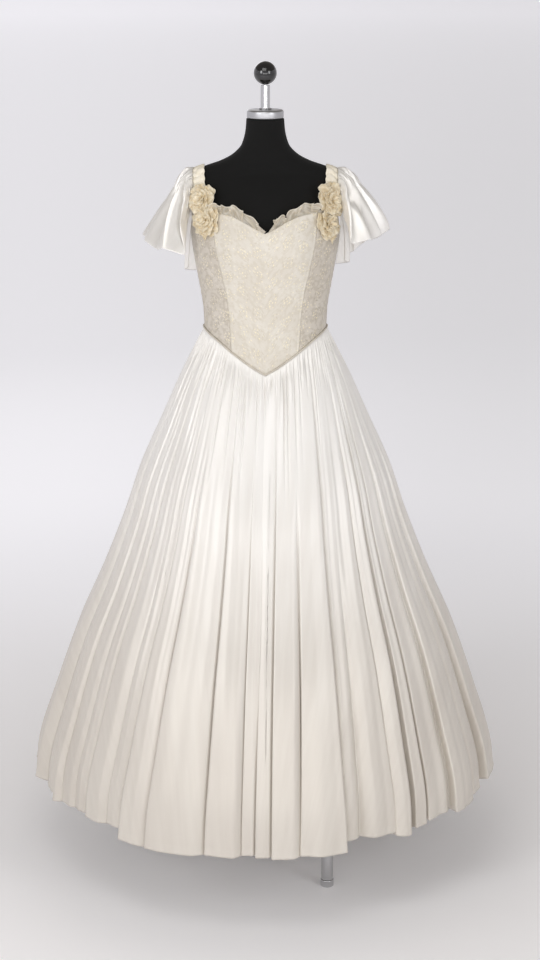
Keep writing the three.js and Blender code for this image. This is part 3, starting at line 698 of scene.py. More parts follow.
# Finishes by short name: what makes each, its own name, then its colours, written or a setting's
# name, and its surface values
FINISH_MAKERS = {
    "satin": (satin_finish, "ivory_satin", "satin_colour", 0.16, 0.33),
    "satin_sleeve": (satin_finish, "ivory_satin_sleeves", "satin_colour", 0.4, 0.27),
    "brocade": (
        brocade_finish, "champagne_brocade", "D0C9BC", "brocade_colour", "B9AD93", 0.5,
    ),
    # Painted shade: a darker copy of the brocade for the side and back panels, which turn away from
    # the lights
    "brocade_side": (
        brocade_finish, "champagne_brocade_sides", "C3BBAE", "D0C9BE", "9C907B", 0.7,
    ),
    "shirred": (shirred_finish, "cream_shirred_cloth", "E9E0CB", "F4EEDF"),
    # The piping's greyish tones are partly the cord's own colour and partly painted shade of the
    # waist seam
    "piping": (shirred_finish, "greige_piping", "BEB6A8", "piping_colour"),
    "organza": (
        organza_finish, "champagne_organza", "F4E6C6", "organza_colour", 0.58, 0.0012,
    ),
    "organza_ruffle": (
        organza_finish, "champagne_organza_ruffle", "EADFC8", "FAF6EC", 0.4, 0.0026,
    ),
    "jersey": (form_finish, "black_jersey", "form_colour"),
    "steel": (metal_finish, "brushed_steel", (0.5, 0.5, 0.51), 0.3, True),
    "chrome": (metal_finish, "polished_chrome", (0.6, 0.6, 0.61), 0.07, False),
    "gloss": (black_finish, "gloss_black", 0.14, 0.7),
    "rubber": (black_finish, "black_rubber", 0.62, 0.0),
}
FINISHES = {}


def finish_of(name):
    """Each finish is made once, when the first piece asks for it."""
    if name not in FINISHES:
        maker, *values = FINISH_MAKERS[name]
        FINISHES[name] = maker(*values)
    return FINISHES[name]


# Making and finishing meshes
def select_none():
    for obj in list(bpy.context.selected_objects):
        obj.select_set(False)


def select_only(obj):
    select_none()
    obj.select_set(True)
    bpy.context.view_layer.objects.active = obj


def finish_piece(obj, name, finish, node):
    """Names the piece, gives it its finish, and sets it on the frame in place of its CAD node."""
    obj.name = name
    obj.data.name = name
    obj.data.materials.clear()
    obj.data.materials.append(finish_of(finish))
    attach(obj, "root")
    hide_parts(node)
    return obj


def set_uv(obj, flat):
    """Gives each corner of the mesh its point's place in a UV map, from one row for each point."""
    layer = obj.data.uv_layers.active or obj.data.uv_layers.new(name="cloth")
    corners = np.zeros(len(obj.data.loops), dtype=np.int32)
    obj.data.loops.foreach_get("vertex_index", corners)
    layer.data.foreach_set("uv", flat[corners].astype(np.float32).ravel())


def set_straight_uv(obj):
    """A plain UV map in metres, from X and Z of the mesh's points."""
    points = np.zeros(len(obj.data.vertices) * 3, dtype=np.float32)
    obj.data.vertices.foreach_get("co", points)
    set_uv(obj, points.reshape(-1, 3)[:, [0, 2]])


def set_length_uv(obj, grid):
    """The cloth's UV map, in metres along its columns and rows."""
    columns, rows = grid.shape[:2]
    along = np.zeros((columns, rows))
    down = np.zeros((columns, rows))
    along[1:] = np.cumsum(np.linalg.norm(np.diff(grid, axis=0), axis=2), axis=0)
    down[:, 1:] = np.cumsum(np.linalg.norm(np.diff(grid, axis=1), axis=2), axis=1)
    along -= along[columns // 2][None, :]
    place = np.stack([along, -down], axis=-1) * MM
    set_uv(obj, place.transpose(1, 0, 2).reshape(-1, 2))


def cloth(grid, thickness, outward=True):
    """A sheet of cloth from a grid of points in millimetres, outer side first, with a wall."""
    columns, rows = grid.shape[:2]
    select_none()
    bpy.ops.mesh.primitive_grid_add(x_subdivisions=columns - 1, y_subdivisions=rows - 1, size=1)
    obj = bpy.context.object
    if len(obj.data.vertices) != columns * rows:
        raise RuntimeError(f"the grid has {len(obj.data.vertices)} points, not {columns * rows}")
    points = (grid * MM).transpose(1, 0, 2).reshape(-1, 3)
    obj.data.vertices.foreach_set("co", points.astype(np.float32).ravel())
    set_length_uv(obj, grid)
    select_only(obj)
    if not outward:
        bpy.ops.object.mode_set(mode="EDIT")
        bpy.ops.mesh.select_all(action="SELECT")
        bpy.ops.mesh.flip_normals()
        bpy.ops.object.mode_set(mode="OBJECT")
    wall = obj.modifiers.new("wall", "SOLIDIFY")
    wall.thickness = thickness * MM
    wall.offset = -1
    wall.use_even_offset = False
    bpy.ops.object.modifier_apply(modifier=wall.name)
    obj.data.shade_smooth()
    return obj


def join(objects):
    select_only(objects[0])
    for obj in objects[1:]:
        obj.select_set(True)
    bpy.ops.object.join()
    return bpy.context.object


# Bodice
def princess_turn(z):
    return np.degrees(np.arcsin(princess_x(z) / form_width(z)))


def bodice_grid(left_seam, right_seam, columns, rows, seams):
    """A panel's outer surface between two seams. seams says which sides have a stitched ridge."""
    share = np.linspace(0, 1, columns + 1)[:, None] + np.zeros((1, rows + 1))
    row = np.linspace(0, 1, rows + 1)[None, :] + np.zeros((columns + 1, 1))

    # The seams slant, so turns and heights are brought together step by step
    z = np.full(share.shape, 1300.0)
    for _ in range(12):
        turn = mix(left_seam(z), right_seam(z), share)
        z = mix(neckline_height(np.abs(turn)), waist_height(np.abs(turn)), row)

    # A dip at each seam, and the ridge and stitch line of its allowance beside it
    plain = on_form(turn, z, BODICE_OUT)
    width = np.linalg.norm(np.diff(plain, axis=0), axis=2).sum(axis=0)[None, :]
    out = np.full(share.shape, BODICE_OUT)
    for distance, ridged in ((share * width, seams[0]), ((1 - share) * width, seams[1])):
        out -= 0.7 * np.exp(-((distance / 1.4) ** 2))
        if ridged:
            out += 0.6 * np.exp(-(((distance - 4.6) / 1.8) ** 2))
            out -= 0.3 * np.exp(-(((distance - 7.8) / 1.0) ** 2))

    # The rolled edge of the neckline with its stitch line, and strain creases over the body
    away = np.abs(turn)
    drop, rise = neckline_height(away) - z, z - waist_height(away)
    out += 0.5 * np.exp(-(((drop - 2.5) / 2.2) ** 2)) - 0.35 * np.exp(-(((drop - 6.5) / 1.2) ** 2))
    strain = np.sin(z * 0.21 + away * 0.11) * np.sin(z * 0.13 - away * 0.23 + 1.0)
    strain = strain * ease(rise, 8, 40) * ease(drop, 10, 50)
    out += 0.42 * strain * (0.35 + 0.65 * ease(rise, 260, 60))
    grid = on_form(turn, z, out)
    grid[0] += unit(grid[1] - grid[0]) * PANEL_GAP
    grid[-1] += unit(grid[-2] - grid[-1]) * PANEL_GAP
    return grid


def straight_seam(turn):
    return lambda z: turn + 0 * z


def left_princess_turn(z):
    return -princess_turn(z)


def build_bodice():
    panels = (
        ("bodice_front_centre", left_princess_turn, princess_turn, 130, 110, (1, 1)),
        ("bodice_front_side_left", straight_seam(-90), left_princess_turn, 70, 100, (0, 0)),
        ("bodice_front_side_right", princess_turn, straight_seam(90), 70, 100, (0, 0)),
        ("bodice_back_right", straight_seam(90), straight_seam(180), 90, 80, (0, 1)),
        ("bodice_back_left", straight_seam(-180), straight_seam(-90), 90, 80, (1, 0)),
    )
    for node, left, right, columns, rows, seams in panels:
        grid = bodice_grid(left, right, columns, rows, seams)
        panel = cloth(grid, BODICE_SHELL, outward=False)
        # The side and back panels take the brocade's darker copy, which is painted shade
        finish = "brocade" if node == "bodice_front_centre" else "brocade_side"
        finish_piece(panel, f"{node}_cloth", finish, node)


def tube_along(points, radius, sides):
    """A round cord or tube along points in millimetres."""
    points = np.asarray(points, float)
    radii = np.broadcast_to(radius, len(points))
    tangents = unit(np.gradient(points, axis=0))
    normal = unit(np.cross(tangents[0], [0.3, 0.2, 1.0]))
    angles = np.linspace(0, 2 * math.pi, sides, endpoint=False)[:, None]
    rings = []
    for point, tangent, size in zip(points, tangents, radii):
        normal = unit(normal - tangent * np.dot(normal, tangent))
        side = np.cross(tangent, normal)
        rings.append(point + size * (np.cos(angles) * normal + np.sin(angles) * side))
    return ring_mesh(rings)


def ring_mesh(rings):
    """A closed solid through rings of points in millimetres, facing outwards."""
    sides = len(rings[0])
    mesh = bpy.data.meshes.new("rings")
    net = bmesh.new()
    rows = [[net.verts.new(p * MM) for p in ring] for ring in rings]
    for low, high in zip(rows, rows[1:]):
        for i in range(sides):
            j = (i + 1) % sides
            net.faces.new((low[i], low[j], high[j], high[i]))
    for row, turned in ((rows[0], True), (rows[-1], False)):
        centre = net.verts.new(sum((v.co for v in row), Vector()) / sides)
        for i in range(sides):
            j = (i + 1) % sides
            net.faces.new((centre, row[j], row[i]) if turned else (centre, row[i], row[j]))
    bmesh.ops.recalc_face_normals(net, faces=net.faces)
    net.to_mesh(mesh)
    net.free()
    obj = bpy.data.objects.new("rings", mesh)
    bpy.context.collection.objects.link(obj)
    select_only(obj)
    mesh.shade_smooth()
    return obj


def build_piping(settings):
    """The cord in its bias cover that hides the waist seam."""
    for node, start, end, count in (
        ("waist_piping_front", -89.9, 89.9, 300),
        ("waist_piping_back", 90.1, 269.9, 200),
    ):
        turn = np.linspace(start, end, count)
        folded = np.where(turn > 180, 360 - turn, np.abs(turn))
        path = on_form(turn, waist_height(folded), CORD_CENTRE_OUT)
        ribs = millimetres(settings.cord_radius) + 0.1 * np.sin(np.arange(count) * 1.9)
        cord = tube_along(path, ribs, 12)
        set_straight_uv(cord)
        finish_piece(cord, f"{node}_cord", "piping", node)


# Skirt
def fold_ring(rng):
    """Every fold round the hem, from the left side seam round the front and the back."""
    folds = [dict(zip(FOLD_COLUMNS.split(), row)) for row in FRONT_FOLDS]
    for i in range(BACK_FOLD_COUNT):
        jitter = rng.uniform(-1.6, 1.6) if i else 0
        turn = 90 + 180 * i / BACK_FOLD_COUNT + jitter
        recess = BACK_RECESSES[i % len(BACK_RECESSES)]
        folds.append({
            "hem": turn,
            "waist": turn,
            "depth": BACK_DEPTHS[i % len(BACK_DEPTHS)],
            "over": (1, 1, -1, 1, 0)[i % 5],
            "open": (4, 1, 7, 2, 12)[i % 5],
            "slope": BACK_SLOPES[i % len(BACK_SLOPES)],
            "start": (0.02, 0.25, 0.1, 0.4)[i % 4],
            "recess": recess,
            "lift": recess * 0.3,
        })
    return folds


def fold_side(fold, side):
    """Points of a fold's side from its bottom to the flat panel: distance, share of the depth."""
    half, slope, lap = fold["open"] / 2, fold["slope"], FOLD_LAP
    if fold["over"] == side:
        return (
            (0, 1), (-0.4 * lap, 0.55), (-0.85 * lap + half, 0.24), (-lap + half, 0.09),
            (-lap + half + 1, 0.02), (-0.4 * lap + half, 0), (half + 6, 0),
        )
    if fold["over"]:
        return (
            (0, 1), (0.4 * lap, 0.72), (0.85 * lap, 0.46), (lap + 2, 0.34),
            (0.45 * slope + lap, 0.17), (0.75 * slope + lap, 0.05), (slope + lap, 0),
        )
    return (
        (0, 1), (0.4 * half, 0.9), (half, 0.62), (half + 0.2 * slope, 0.36),
        (half + 0.5 * slope, 0.13), (half + 0.75 * slope, 0.03), (half + slope, 0),
    )


def grown(fold, drop):
    """How much of its full depth a fold has at each share of the drop."""
    return np.clip((drop - fold["start"]) / (1 - fold["start"]), 0, 1) ** 0.8


def pleat_grid(fold, following, columns, drops, gathers, rng):
    """The outer surface of the cloth from one fold to the next."""
    wrap = 360 if following["hem"] < fold["hem"] else 0
    hem_span = following["hem"] + wrap - fold["hem"]
    width = math.radians(hem_span) * HEM_RADIUS
    left = np.array(fold_side(fold, 1), float)
    right = np.array(fold_side(following, -1), float)
    for points in (left, right):
        points[:, 0] *= min(1, 0.44 * width / points[-1, 0])
    middle = columns - len(left) - len(right) + 2
    flat = np.linspace(left[-1, 0], width - right[-1, 0], middle)[1:-1]
    place = np.concatenate([left[:, 0], flat, width - right[::-1, 0]]) / width
    even = np.linspace(0, 1, columns)
    near_left = (np.arange(columns) < columns / 2)[:, None]
    drop = drops[None, :] + np.zeros((columns, 1))
    growth = np.where(near_left, grown(fold, drop), grown(following, drop))
    share = mix(even[:, None], place[:, None], growth)
    bend = 0.6 * np.sin(np.pi * drop) * mix(fold["sway"], following["sway"], share)
    hem = np.radians(fold["hem"] + hem_span * share + bend)
    waist = fold["waist"] + (following["waist"] + wrap - fold["waist"]) * share
    folded = np.where(waist > 180, 360 - waist, np.abs(waist))
    top = on_form(waist, waist_height(folded) - SEAM_GAP, BODICE_OUT - SEAM_GAP)
    out = flare(drop)
    x = mix(top[..., 0], HEM_RADIUS * np.sin(hem), out)
    y = mix(top[..., 1], -HEM_RADIUS * np.cos(hem), out)
    z = mix(top[..., 2], HEM_HEIGHT, drop)

    # The panel lies in by its own amount, and each fold reaches its depth below both its panels
    settled = drop ** 1.3
    panel = fold["recess"] * settled
    inwards = panel.copy()
    walls = (
        (fold, left[:, 1], np.arange(len(left))),
        (following, right[:, 1], -1 - np.arange(len(right))),
    )
    for side, shares, rows in walls:
        bottom = np.maximum(side["depth"], side["level"] + 14) * grown(side, drop) ** 1.1
        bottom = np.maximum(bottom, side["level"] * settled)
        inwards[rows] += shares[:, None] * (bottom[rows] - panel[rows])

    # Gathers at the waist, soft waves down the panel, and the turned-up hem with its stitching
    opening = ease(drop, 0, 0.03)
    for turn, half, depth, fade in gathers:
        away = (waist - turn + 180) % 360 - 180
        if np.abs(away).min() < half:
            reach = np.clip(1 - np.abs(away) / half, 0, 1)
            gather = reach * reach * (3 - 2 * reach)
            inwards += depth * (1.2 + fade) * gather * opening * (1 - ease(drop, 0.01, fade))
    window = np.sin(np.pi * np.clip(share, 0, 1)) ** 1.5
    inwards -= 2.2 * window * min(width / 80, 1.2) * ease(drop, 0.15, 0.9)
    window = window * ease(drop, 0.05, 0.4) * min(width / 60, 1.6)
    for count in (1, 2, 3, 5):
        phase, twist = rng.uniform(0, 6.28), rng.uniform(-2.2, 2.2)
        wave = np.sin(np.pi * count * share + phase + twist * drop * (1 + 0.4 * drop))
        inwards += rng.uniform(0.5, 1.0) * 3.4 / (count + 0.5) * window * wave
    above_hem = (1 - drop) * SKIRT_LENGTH
    inwards -= 0.9 * np.exp(-((above_hem / 4) ** 2)) - 0.5 * np.exp(-(((above_hem - 20) / 3) ** 2))
    radius = np.hypot(x, y)
    scale = 1 - inwards / radius
    lift = 2.0 * np.sin(hem * 7.0 + 0.6) + 1.4 * np.sin(hem * 17.0)
    flat_lift = np.full(columns, float(fold["lift"]))
    flat_lift[:len(left)] = mix(fold["lift_level"], fold["lift"], 1 - left[:, 1])
    flat_lift[-len(right):] = mix(following["lift_level"], fold["lift"], 1 - right[::-1, 1])
    z = z + (lift + 2.5 + flat_lift[:, None]) * drop ** 5
    return np.stack([x * scale, y * scale, z], axis=-1)


def skirt_grids(gather_count):
    """The outer surfaces of the skirt's front and back, centred on the pole at the hem."""
    rng = np.random.default_rng(7)
    folds = fold_ring(rng)
    for i, fold in enumerate(folds):
        fold["sway"] = rng.uniform(-1, 1)
        fold["level"] = max(fold["recess"], folds[i - 1]["recess"])
        fold["lift_level"] = (fold["lift"] + folds[i - 1]["lift"]) / 2
    gathers = [
        (
            360 * (i + rng.uniform(-0.4, 0.4)) / gather_count - 180,
            rng.uniform(0.7, 1.5),
            rng.uniform(1.5, 6.0),
            rng.uniform(0.04, 0.14) if rng.uniform() < 0.8 else rng.uniform(0.2, 0.42),
        )
        for i in range(gather_count)
    ]
    drops = np.concatenate([
        np.linspace(0, 0.05, 12)[:-1],
        np.linspace(0.05, 0.3, 22)[:-1],
        np.linspace(0.3, 0.965, 30)[:-1],
        np.linspace(0.965, 1, 9),
    ])
    front, back = [], []
    for i, fold in enumerate(folds):
        following = folds[(i + 1) % len(folds)]
        in_front = i < len(FRONT_FOLDS)
        pleat = pleat_grid(fold, following, PLEAT_COLUMNS, drops, gathers, rng)
        (front if in_front else back).append(pleat[:-1])
    front.append(back[0][:1])
    back.append(front[0][:1])
    front, back = np.concatenate(front), np.concatenate(back)
    hem = np.concatenate([front[:, -1], back[:, -1]])
    sway = (hem.max(axis=0) + hem.min(axis=0)) / 2
    sway[2] = 0
    for grid in (front, back):
        grid -= drops[None, :, None] * sway
        grid[0] += unit(grid[1] - grid[0]) * SEAM_GAP / 2
        grid[-1] += unit(grid[-2] - grid[-1]) * SEAM_GAP / 2
    return front, back


def build_skirt(settings):
    for node, grid in zip(("skirt_front", "skirt_back"), skirt_grids(settings.gather_count)):
        sheet = cloth(grid, SKIRT_SHELL, outward=False)
        finish_piece(sheet, f"{node}_cloth", "satin", node)


# Straps and sleeves
def strap_point(side, turn, share, out):
    """Points over the shoulder at a turn and a share of the strap's width, moved out."""
    angle = np.radians(turn)
    x = side * mix(strap_inner(turn), strap_outer(turn), share)
    level = np.zeros_like(x)
    start = np.stack([x, level + STRAP_CENTRE_Y, level + STRAP_CENTRE_Z], axis=-1)
    direction = np.stack([0 * x, -np.cos(angle), np.sin(angle)], axis=-1)
    return cast_to_form(start, direction, 140.0, out)


def strap_foot(share, at_back):
    """The turn at which the strap meets the bodice's neckline."""
    near = STRAP_BACK_FOOT if at_back else STRAP_FRONT_FOOT
    x = mix(strap_inner(near), strap_outer(near), share)
    z = np.full_like(share, float(STRAP_CENTRE_Z))
    for _ in range(6):
        across = np.arcsin(x / form_width(z))
        turn = np.degrees(across)
        z = neckline_height(180 - turn if at_back else turn) + SEAM_GAP
        y = np.cos(across) * (form_back(z) if at_back else -form_front(z))
    foot = np.degrees(np.arctan2(z - STRAP_CENTRE_Z, np.abs(y - STRAP_CENTRE_Y)))
    return 180 - foot if at_back else foot


def build_straps():
    for node, side in (("strap_left", -1), ("strap_right", 1)):
        length, across = 300, 26
        along = np.linspace(0, 1, length + 1)[:, None] + np.zeros((1, across + 1))
        share = np.linspace(0, 1, across + 1)[None, :] + np.zeros((length + 1, 1))
        turn = mix(strap_foot(share, False), strap_foot(share, True), along)
        phase = along * STRAP_SHIRRS + 0.16 * np.sin(share * 7 + along * 23 * side)
        ridge = np.abs(np.sin(np.pi * phase)) ** 0.7
        middle = 1 - (2 * share - 1) ** 4
        cross = np.sin(share * 19 + along * 61) * 0.18
        out = BODICE_OUT - 0.9 + (1.9 + cross) * ridge * (0.55 + 0.45 * middle)
        frill = 0.018 * np.sin(2 * np.pi * phase + 0.8) * (2 * share - 1) ** 3
        grid = strap_point(side, turn, share + frill, out)
        strap = cloth(grid, STRAP_SHELL, outward=side < 0)
        finish_piece(strap, f"{node}_cloth", "shirred", node)


def sleeve_grid(side, hem_table, bulge, creases, columns, rows):
    """A flounce from its seam on the strap to its hem, with its creases and puckers."""
    share = np.linspace(0, 1, columns + 1)
    turn = mix(SLEEVE_FROM, SLEEVE_TO, share)
    top = strap_point(side, turn, np.full_like(turn, SLEEVE_SEAM), BODICE_OUT + 2.4)
    out, y, z = (smooth(hem_table, i)(share) for i in (1, 2, 3))
    fall = np.stack([side * out, y, z], axis=-1) - top
    outward = np.stack([0 * share + side * 0.8, (share - 0.5) * 1.4, 0 * share + 0.5], axis=-1)
    outward = unit(outward)[:, None, :]
    length = np.minimum(np.linalg.norm(fall, axis=1) / 180, 1)[:, None]
    drop = np.linspace(0, 1, rows + 1)[None, :] + np.zeros((columns + 1, 1))
    lift = bulge * length * 4 * drop * (1 - drop)
    lift = lift + 6 * np.sin(np.pi * np.minimum(drop * 3.2, 1)) * length
    around = share[:, None]
    for at_hem, at_strap, depth, half in creases:
        centre = mix(at_strap, at_hem, drop ** 0.8)
        reach = np.clip(1 - np.abs(around - centre) / (half * mix(0.75, 1.5, drop)), 0, 1)
        crease = reach * reach * (3 - 2 * reach)
        beside = np.clip(1 - np.abs(around - centre - 1.6 * half) / (half * 1.1), 0, 1)
        hollow = ease(drop, 0.02, 0.35)
        lift -= depth * (1.5 * crease - 0.35 * beside ** 2) * length * hollow
    wander = 0.7 * np.sin(around * 23) + 0.4 * np.sin(around * 71)
    puckers = np.abs(np.sin(np.pi * (around * 21 + wander))) ** 0.7
    puckers = puckers * (0.7 + 0.5 * np.sin(around * 37 + 1))
    reach = 0.36 + 0.2 * np.sin(around * 47 + 2)
    lift += 7.0 * puckers * ease(drop, 0, 0.04) * (1 - ease(drop / reach, 0.1, 1))
    lift += 2.5 * length * ease(drop, 0.75, 1)
    grid = top[:, None, :] + fall[:, None, :] * drop[..., None] + outward * lift[..., None]

    # The cloth stays outside the form
    x, y, z = grid[..., 0], grid[..., 1], grid[..., 2]
    depth = np.where(y < 0, form_front(z), form_back(z))
    shoulder = form_width(z) * np.sqrt(np.clip(1 - (y / depth) ** 2, 0, 1))
    shoulder = shoulder + 3.5 * ease(drop, 0, 0.1)
    grid[..., 0] = np.where(np.abs(y) < depth, side * np.maximum(side * x, shoulder), x)
    return grid


def build_sleeves():
    for node, side, table, bulge, creases in (
        ("sleeve_left", -1, LEFT_SLEEVE, LEFT_BULGE, LEFT_CREASES),
        ("sleeve_right", 1, RIGHT_SLEEVE, RIGHT_BULGE, RIGHT_CREASES),
    ):
        grid = sleeve_grid(side, table, bulge, creases, 300, 70)
        sleeve = cloth(grid, SLEEVE_SHELL, outward=side < 0)
        finish_piece(sleeve, f"{node}_cloth", "satin_sleeve", node)


# Organza trim
def build_ruffles(settings):
    for node, side, seed in (("neck_ruffle_left", -1, 21), ("neck_ruffle_right", 1, 22)):
        rng = np.random.default_rng(seed)
        columns, rows = 380, 18
        share = np.linspace(0, 1, columns + 1)[:, None] + np.zeros((1, rows + 1))
        rise = np.linspace(1, 0, rows + 1)[None, :] + np.zeros((columns + 1, 1))
        first, second = rng.uniform(0, 6.28, 2)
        drift = share + 0.025 * np.sin(share * 19 + first) + 0.01 * np.sin(share * 43 + second)
        wave = 2 * np.pi * 2.1 * drift
        turn = side * mix(RUFFLE_FROM, RUFFLE_TO, share)
        turn = turn + side * 2.9 * np.sin(2 * wave) * rise ** 0.8
        turn = turn + side * 0.8 * np.sin(wave * 0.61 + first) * rise
        foot = on_form(turn, neckline_height(np.abs(turn)) - 1.5, 0.0)
        normal = form_normal(foot)
        lobes = 0.42 + 0.52 * np.abs(np.cos(wave)) ** 0.55 + 0.09 * np.sin(wave * 0.71 + second)
        lobes = lobes + 0.07 * np.sin(wave * 5.3 + first)
        ends = np.minimum(1, np.minimum(6 * share + 0.3, 7 * (1 - share) + 0.5))
        out = 2.0 + RUFFLE_LEAN * rise ** 1.4 + 7.0 * np.cos(wave) * rise ** 0.55
        out = out + 3.2 * np.sin(wave * 4.3 + second) * rise * (1.3 - rise)
        grid = foot + normal * out[..., None]
        height = millimetres(settings.ruffle_height)
        grid[..., 2] += height * lobes * ends * rise - 2.0 * rise ** 3
        ruffle = cloth(grid, RUFFLE_SHELL, outward=side > 0)
        finish_piece(ruffle, f"{node}_cloth", "organza_ruffle", node)


def petal(seat, axes, angle, length, width, lift, cup, rng, pointed=False):
    """One organza petal: a cupped sheet from the rosette's middle outwards."""
    across, up, normal = axes
    side = np.linspace(-1, 1, 17)[:, None] + np.zeros((1, 13))
    reach = np.linspace(1, 0, 13)[None, :] + np.zeros((17, 1))
    direction = math.cos(angle) * across + math.sin(angle) * up
    beside = -math.sin(angle) * across + math.cos(angle) * up
    if pointed:
        outline = np.sin(np.pi * np.clip(reach * 0.96 + 0.04, 0, 1)) ** 0.7 * (1 - 0.4 * reach)
    else:
        outline = 0.2 + 0.8 * np.sin(0.5 * np.pi * np.minimum(reach * 1.35, 1))
    first, second = rng.uniform(0, 6.28, 2)
    frill = 2.4 * np.sin(side * 3.4 + first) * reach ** 2
    frill = frill + 1.2 * np.sin(side * 7.5 + second) * reach ** 3
    height = lift * np.sin(0.5 * np.pi * reach) ** 0.8 + cup * side ** 2 * reach + frill
    round_end = 1 - (0.0 if pointed else 0.22) * side ** 2 + 0.05 * np.sin(side * 5 + second)
    place = direction * (length * reach * round_end)[..., None]
    place = place + beside * (width * side * outline)[..., None]
    return seat + place + normal * (height + 1.2)[..., None]


def rosette_petals(seat, axes, radius, tail, loop, rng):
    """Every petal of a rosette, with its tail's leaves and its standing loop."""
    petals = []
    for count, length, width, lift, cup in PETAL_RINGS:
        first = rng.uniform(0, 6.28)
        for i in range(count):
            angle = first + 2 * math.pi * (i + rng.uniform(-0.35, 0.35)) / count
            petals.append(petal(
                seat + rng.uniform(-2.5, 2.5, 3) * (1, 0.4, 1), axes, angle,
                radius * length * rng.uniform(0.84, 1.1), radius * width * rng.uniform(0.8, 1.15),
                lift + rng.uniform(-2, 2.5), cup, rng,
            ))
    if tail:
        for lean, share in TAIL_LEAVES:
            angle = lean - math.pi / 2
            petals.append(petal(seat, axes, angle, tail * share, 12, 2.5, 2.0, rng, pointed=True))
    if loop is not None:
        angle = math.radians(loop)
        petals.append(petal(seat, axes, angle, radius * 1.5, 11, 7.0, 5.0, rng))
    return petals


def build_rosettes():
    for node, x, z, radius, tail, loop, seed in ROSETTES:
        rng = np.random.default_rng(seed)
        start = np.array([x, 0.0, z])
        surface = cast_to_form(start, np.array([0.0, -1.0, 0.0]), 200.0)
        normal = form_normal(surface)
        up = unit(np.array([0, 0, 1.0]) - normal * normal[2])
        axes = (np.cross(up, normal), up, normal)
        seat = surface + normal * (4.4 if tail else 6.5)
        petals = rosette_petals(seat, axes, radius, tail, loop, rng)
        rosette = join([cloth(grid, PETAL_SHELL) for grid in petals])
        finish_piece(rosette, f"{node}_petals", "organza", node)


# Dress form and stand
def build_form():
    heights = np.concatenate([
        np.linspace(FORM[0][0], SHOULDER_TOP, 90),
        np.linspace(SHOULDER_TOP + 3, NECK_TOP, 70),
    ])
    turns = np.linspace(-180, 180, 120, endpoint=False)
    rings = [on_form(turns, np.full(turns.shape, z), -COVER_EASE) for z in heights]
    torso = ring_mesh(rings)
    finish_piece(torso, "form_torso_cover", "jersey", "form_torso")


def lathe(profile, sides=96):
    """A turned piece from (radius, height) points in millimetres, both ends on the axis."""
    angles = np.linspace(0, 2 * math.pi, sides, endpoint=False)
    rings = [
        np.stack([r * np.cos(angles), r * np.sin(angles), np.full(sides, float(z))], axis=-1)
        for r, z in profile
    ]
    return ring_mesh(rings)


def rounded(radius, low, high, edge, steps=6):
    """Profile of a turned block with rounded upper and lower edges."""
    quarter = np.linspace(0, math.pi / 2, steps)
    inner = radius - edge
    lower = [(inner + edge * math.sin(a), low + edge - edge * math.cos(a)) for a in quarter]
    upper = [(inner + edge * math.cos(a), high - edge + edge * math.sin(a)) for a in quarter]
    return [(0.5, low), *lower, *upper, (0.5, high)]


def sharp_edges(obj, degrees=35):
    select_only(obj)
    bpy.ops.object.shade_smooth_by_angle(angle=math.radians(degrees))


def build_finial():
    cap = lathe(rounded(CAP_RADIUS, NECK_TOP + SEAM_GAP, CAP_TOP, 4.5, 8))
    sharp_edges(cap)
    finish_piece(cap, "neck_cap_turned", "steel", "neck_cap")
    rod_top = BALL_CENTRE - BALL_RADIUS - SEAM_GAP
    low = CAP_TOP + SEAM_GAP
    collar = [(0.5, low), (13.2, low), (13.6, low + 0.6), (13.6, low + 2.6), (12.9, low + 3.4)]
    shaft = [(ROD_RADIUS, low + 3.6), (ROD_RADIUS, rod_top - 0.6), (9.4, rod_top), (0.5, rod_top)]
    rod = lathe([*collar, *shaft], 64)
    sharp_edges(rod)
    finish_piece(rod, "top_rod_turned", "chrome", "top_rod")
    select_none()
    bpy.ops.mesh.primitive_uv_sphere_add(
        segments=72, ring_count=40, radius=BALL_RADIUS * MM, location=(0, 0, BALL_CENTRE * MM)
    )
    ball = bpy.context.object

    # The ball is a little flatter where it sits on the rod
    seat = (BALL_CENTRE - BALL_RADIUS * 0.94) * MM
    for vertex in ball.data.vertices:
        height = vertex.co.z + BALL_CENTRE * MM
        if height < seat:
            vertex.co.z += (seat - height) * 0.1
    bpy.ops.object.transform_apply(location=True, rotation=True, scale=True)
    ball.data.shade_smooth()
    finish_piece(ball, "ball_finial_turned", "gloss", "ball_finial")


def build_stand():
    low, high = HUB_TOP + SEAM_GAP, FORM[0][0] - SEAM_GAP
    pole = lathe([(0.5, low), (POLE_RADIUS, low), (POLE_RADIUS, high), (0.5, high)], 64)
    sharp_edges(pole)
    finish_piece(pole, "pole_tube", "chrome", "pole")
    hub = lathe(rounded(HUB_RADIUS, HUB_BOTTOM, HUB_TOP, 3), 80)
    sharp_edges(hub)
    finish_piece(hub, "hub_turned", "rubber", "hub")
    for i, azimuth in enumerate(LEG_AZIMUTHS, 1):
        direction = np.array([math.sin(math.radians(azimuth)), -math.cos(math.radians(azimuth))])
        bend = np.linspace(0, math.pi / 2, 24)
        corner, level = LEG_REACH - LEG_BEND, LEG_LEVEL - LEG_BEND
        reach = [HUB_RADIUS + SEAM_GAP, *(corner + LEG_BEND * np.sin(bend)), LEG_REACH]
        height = [LEG_LEVEL, *(level + LEG_BEND * np.cos(bend)), TIP_HEIGHT + SEAM_GAP]
        path = [np.array([*(direction * r), h]) for r, h in zip(reach, height)]
        leg = tube_along(path, LEG_RADIUS, 40)
        sharp_edges(leg)
        finish_piece(leg, f"leg_{i}_tube", "chrome", f"leg_{i}")
        tip = lathe(rounded(TIP_RADIUS, 0, TIP_HEIGHT, 1.6), 56)
        place = direction * LEG_REACH * MM
        tip.location = (place[0], place[1], 0)
        select_only(tip)
        bpy.ops.object.transform_apply(location=True, rotation=True, scale=True)
        sharp_edges(tip)
        finish_piece(tip, f"foot_tip_{i}_cap", "chrome", f"foot_tip_{i}")


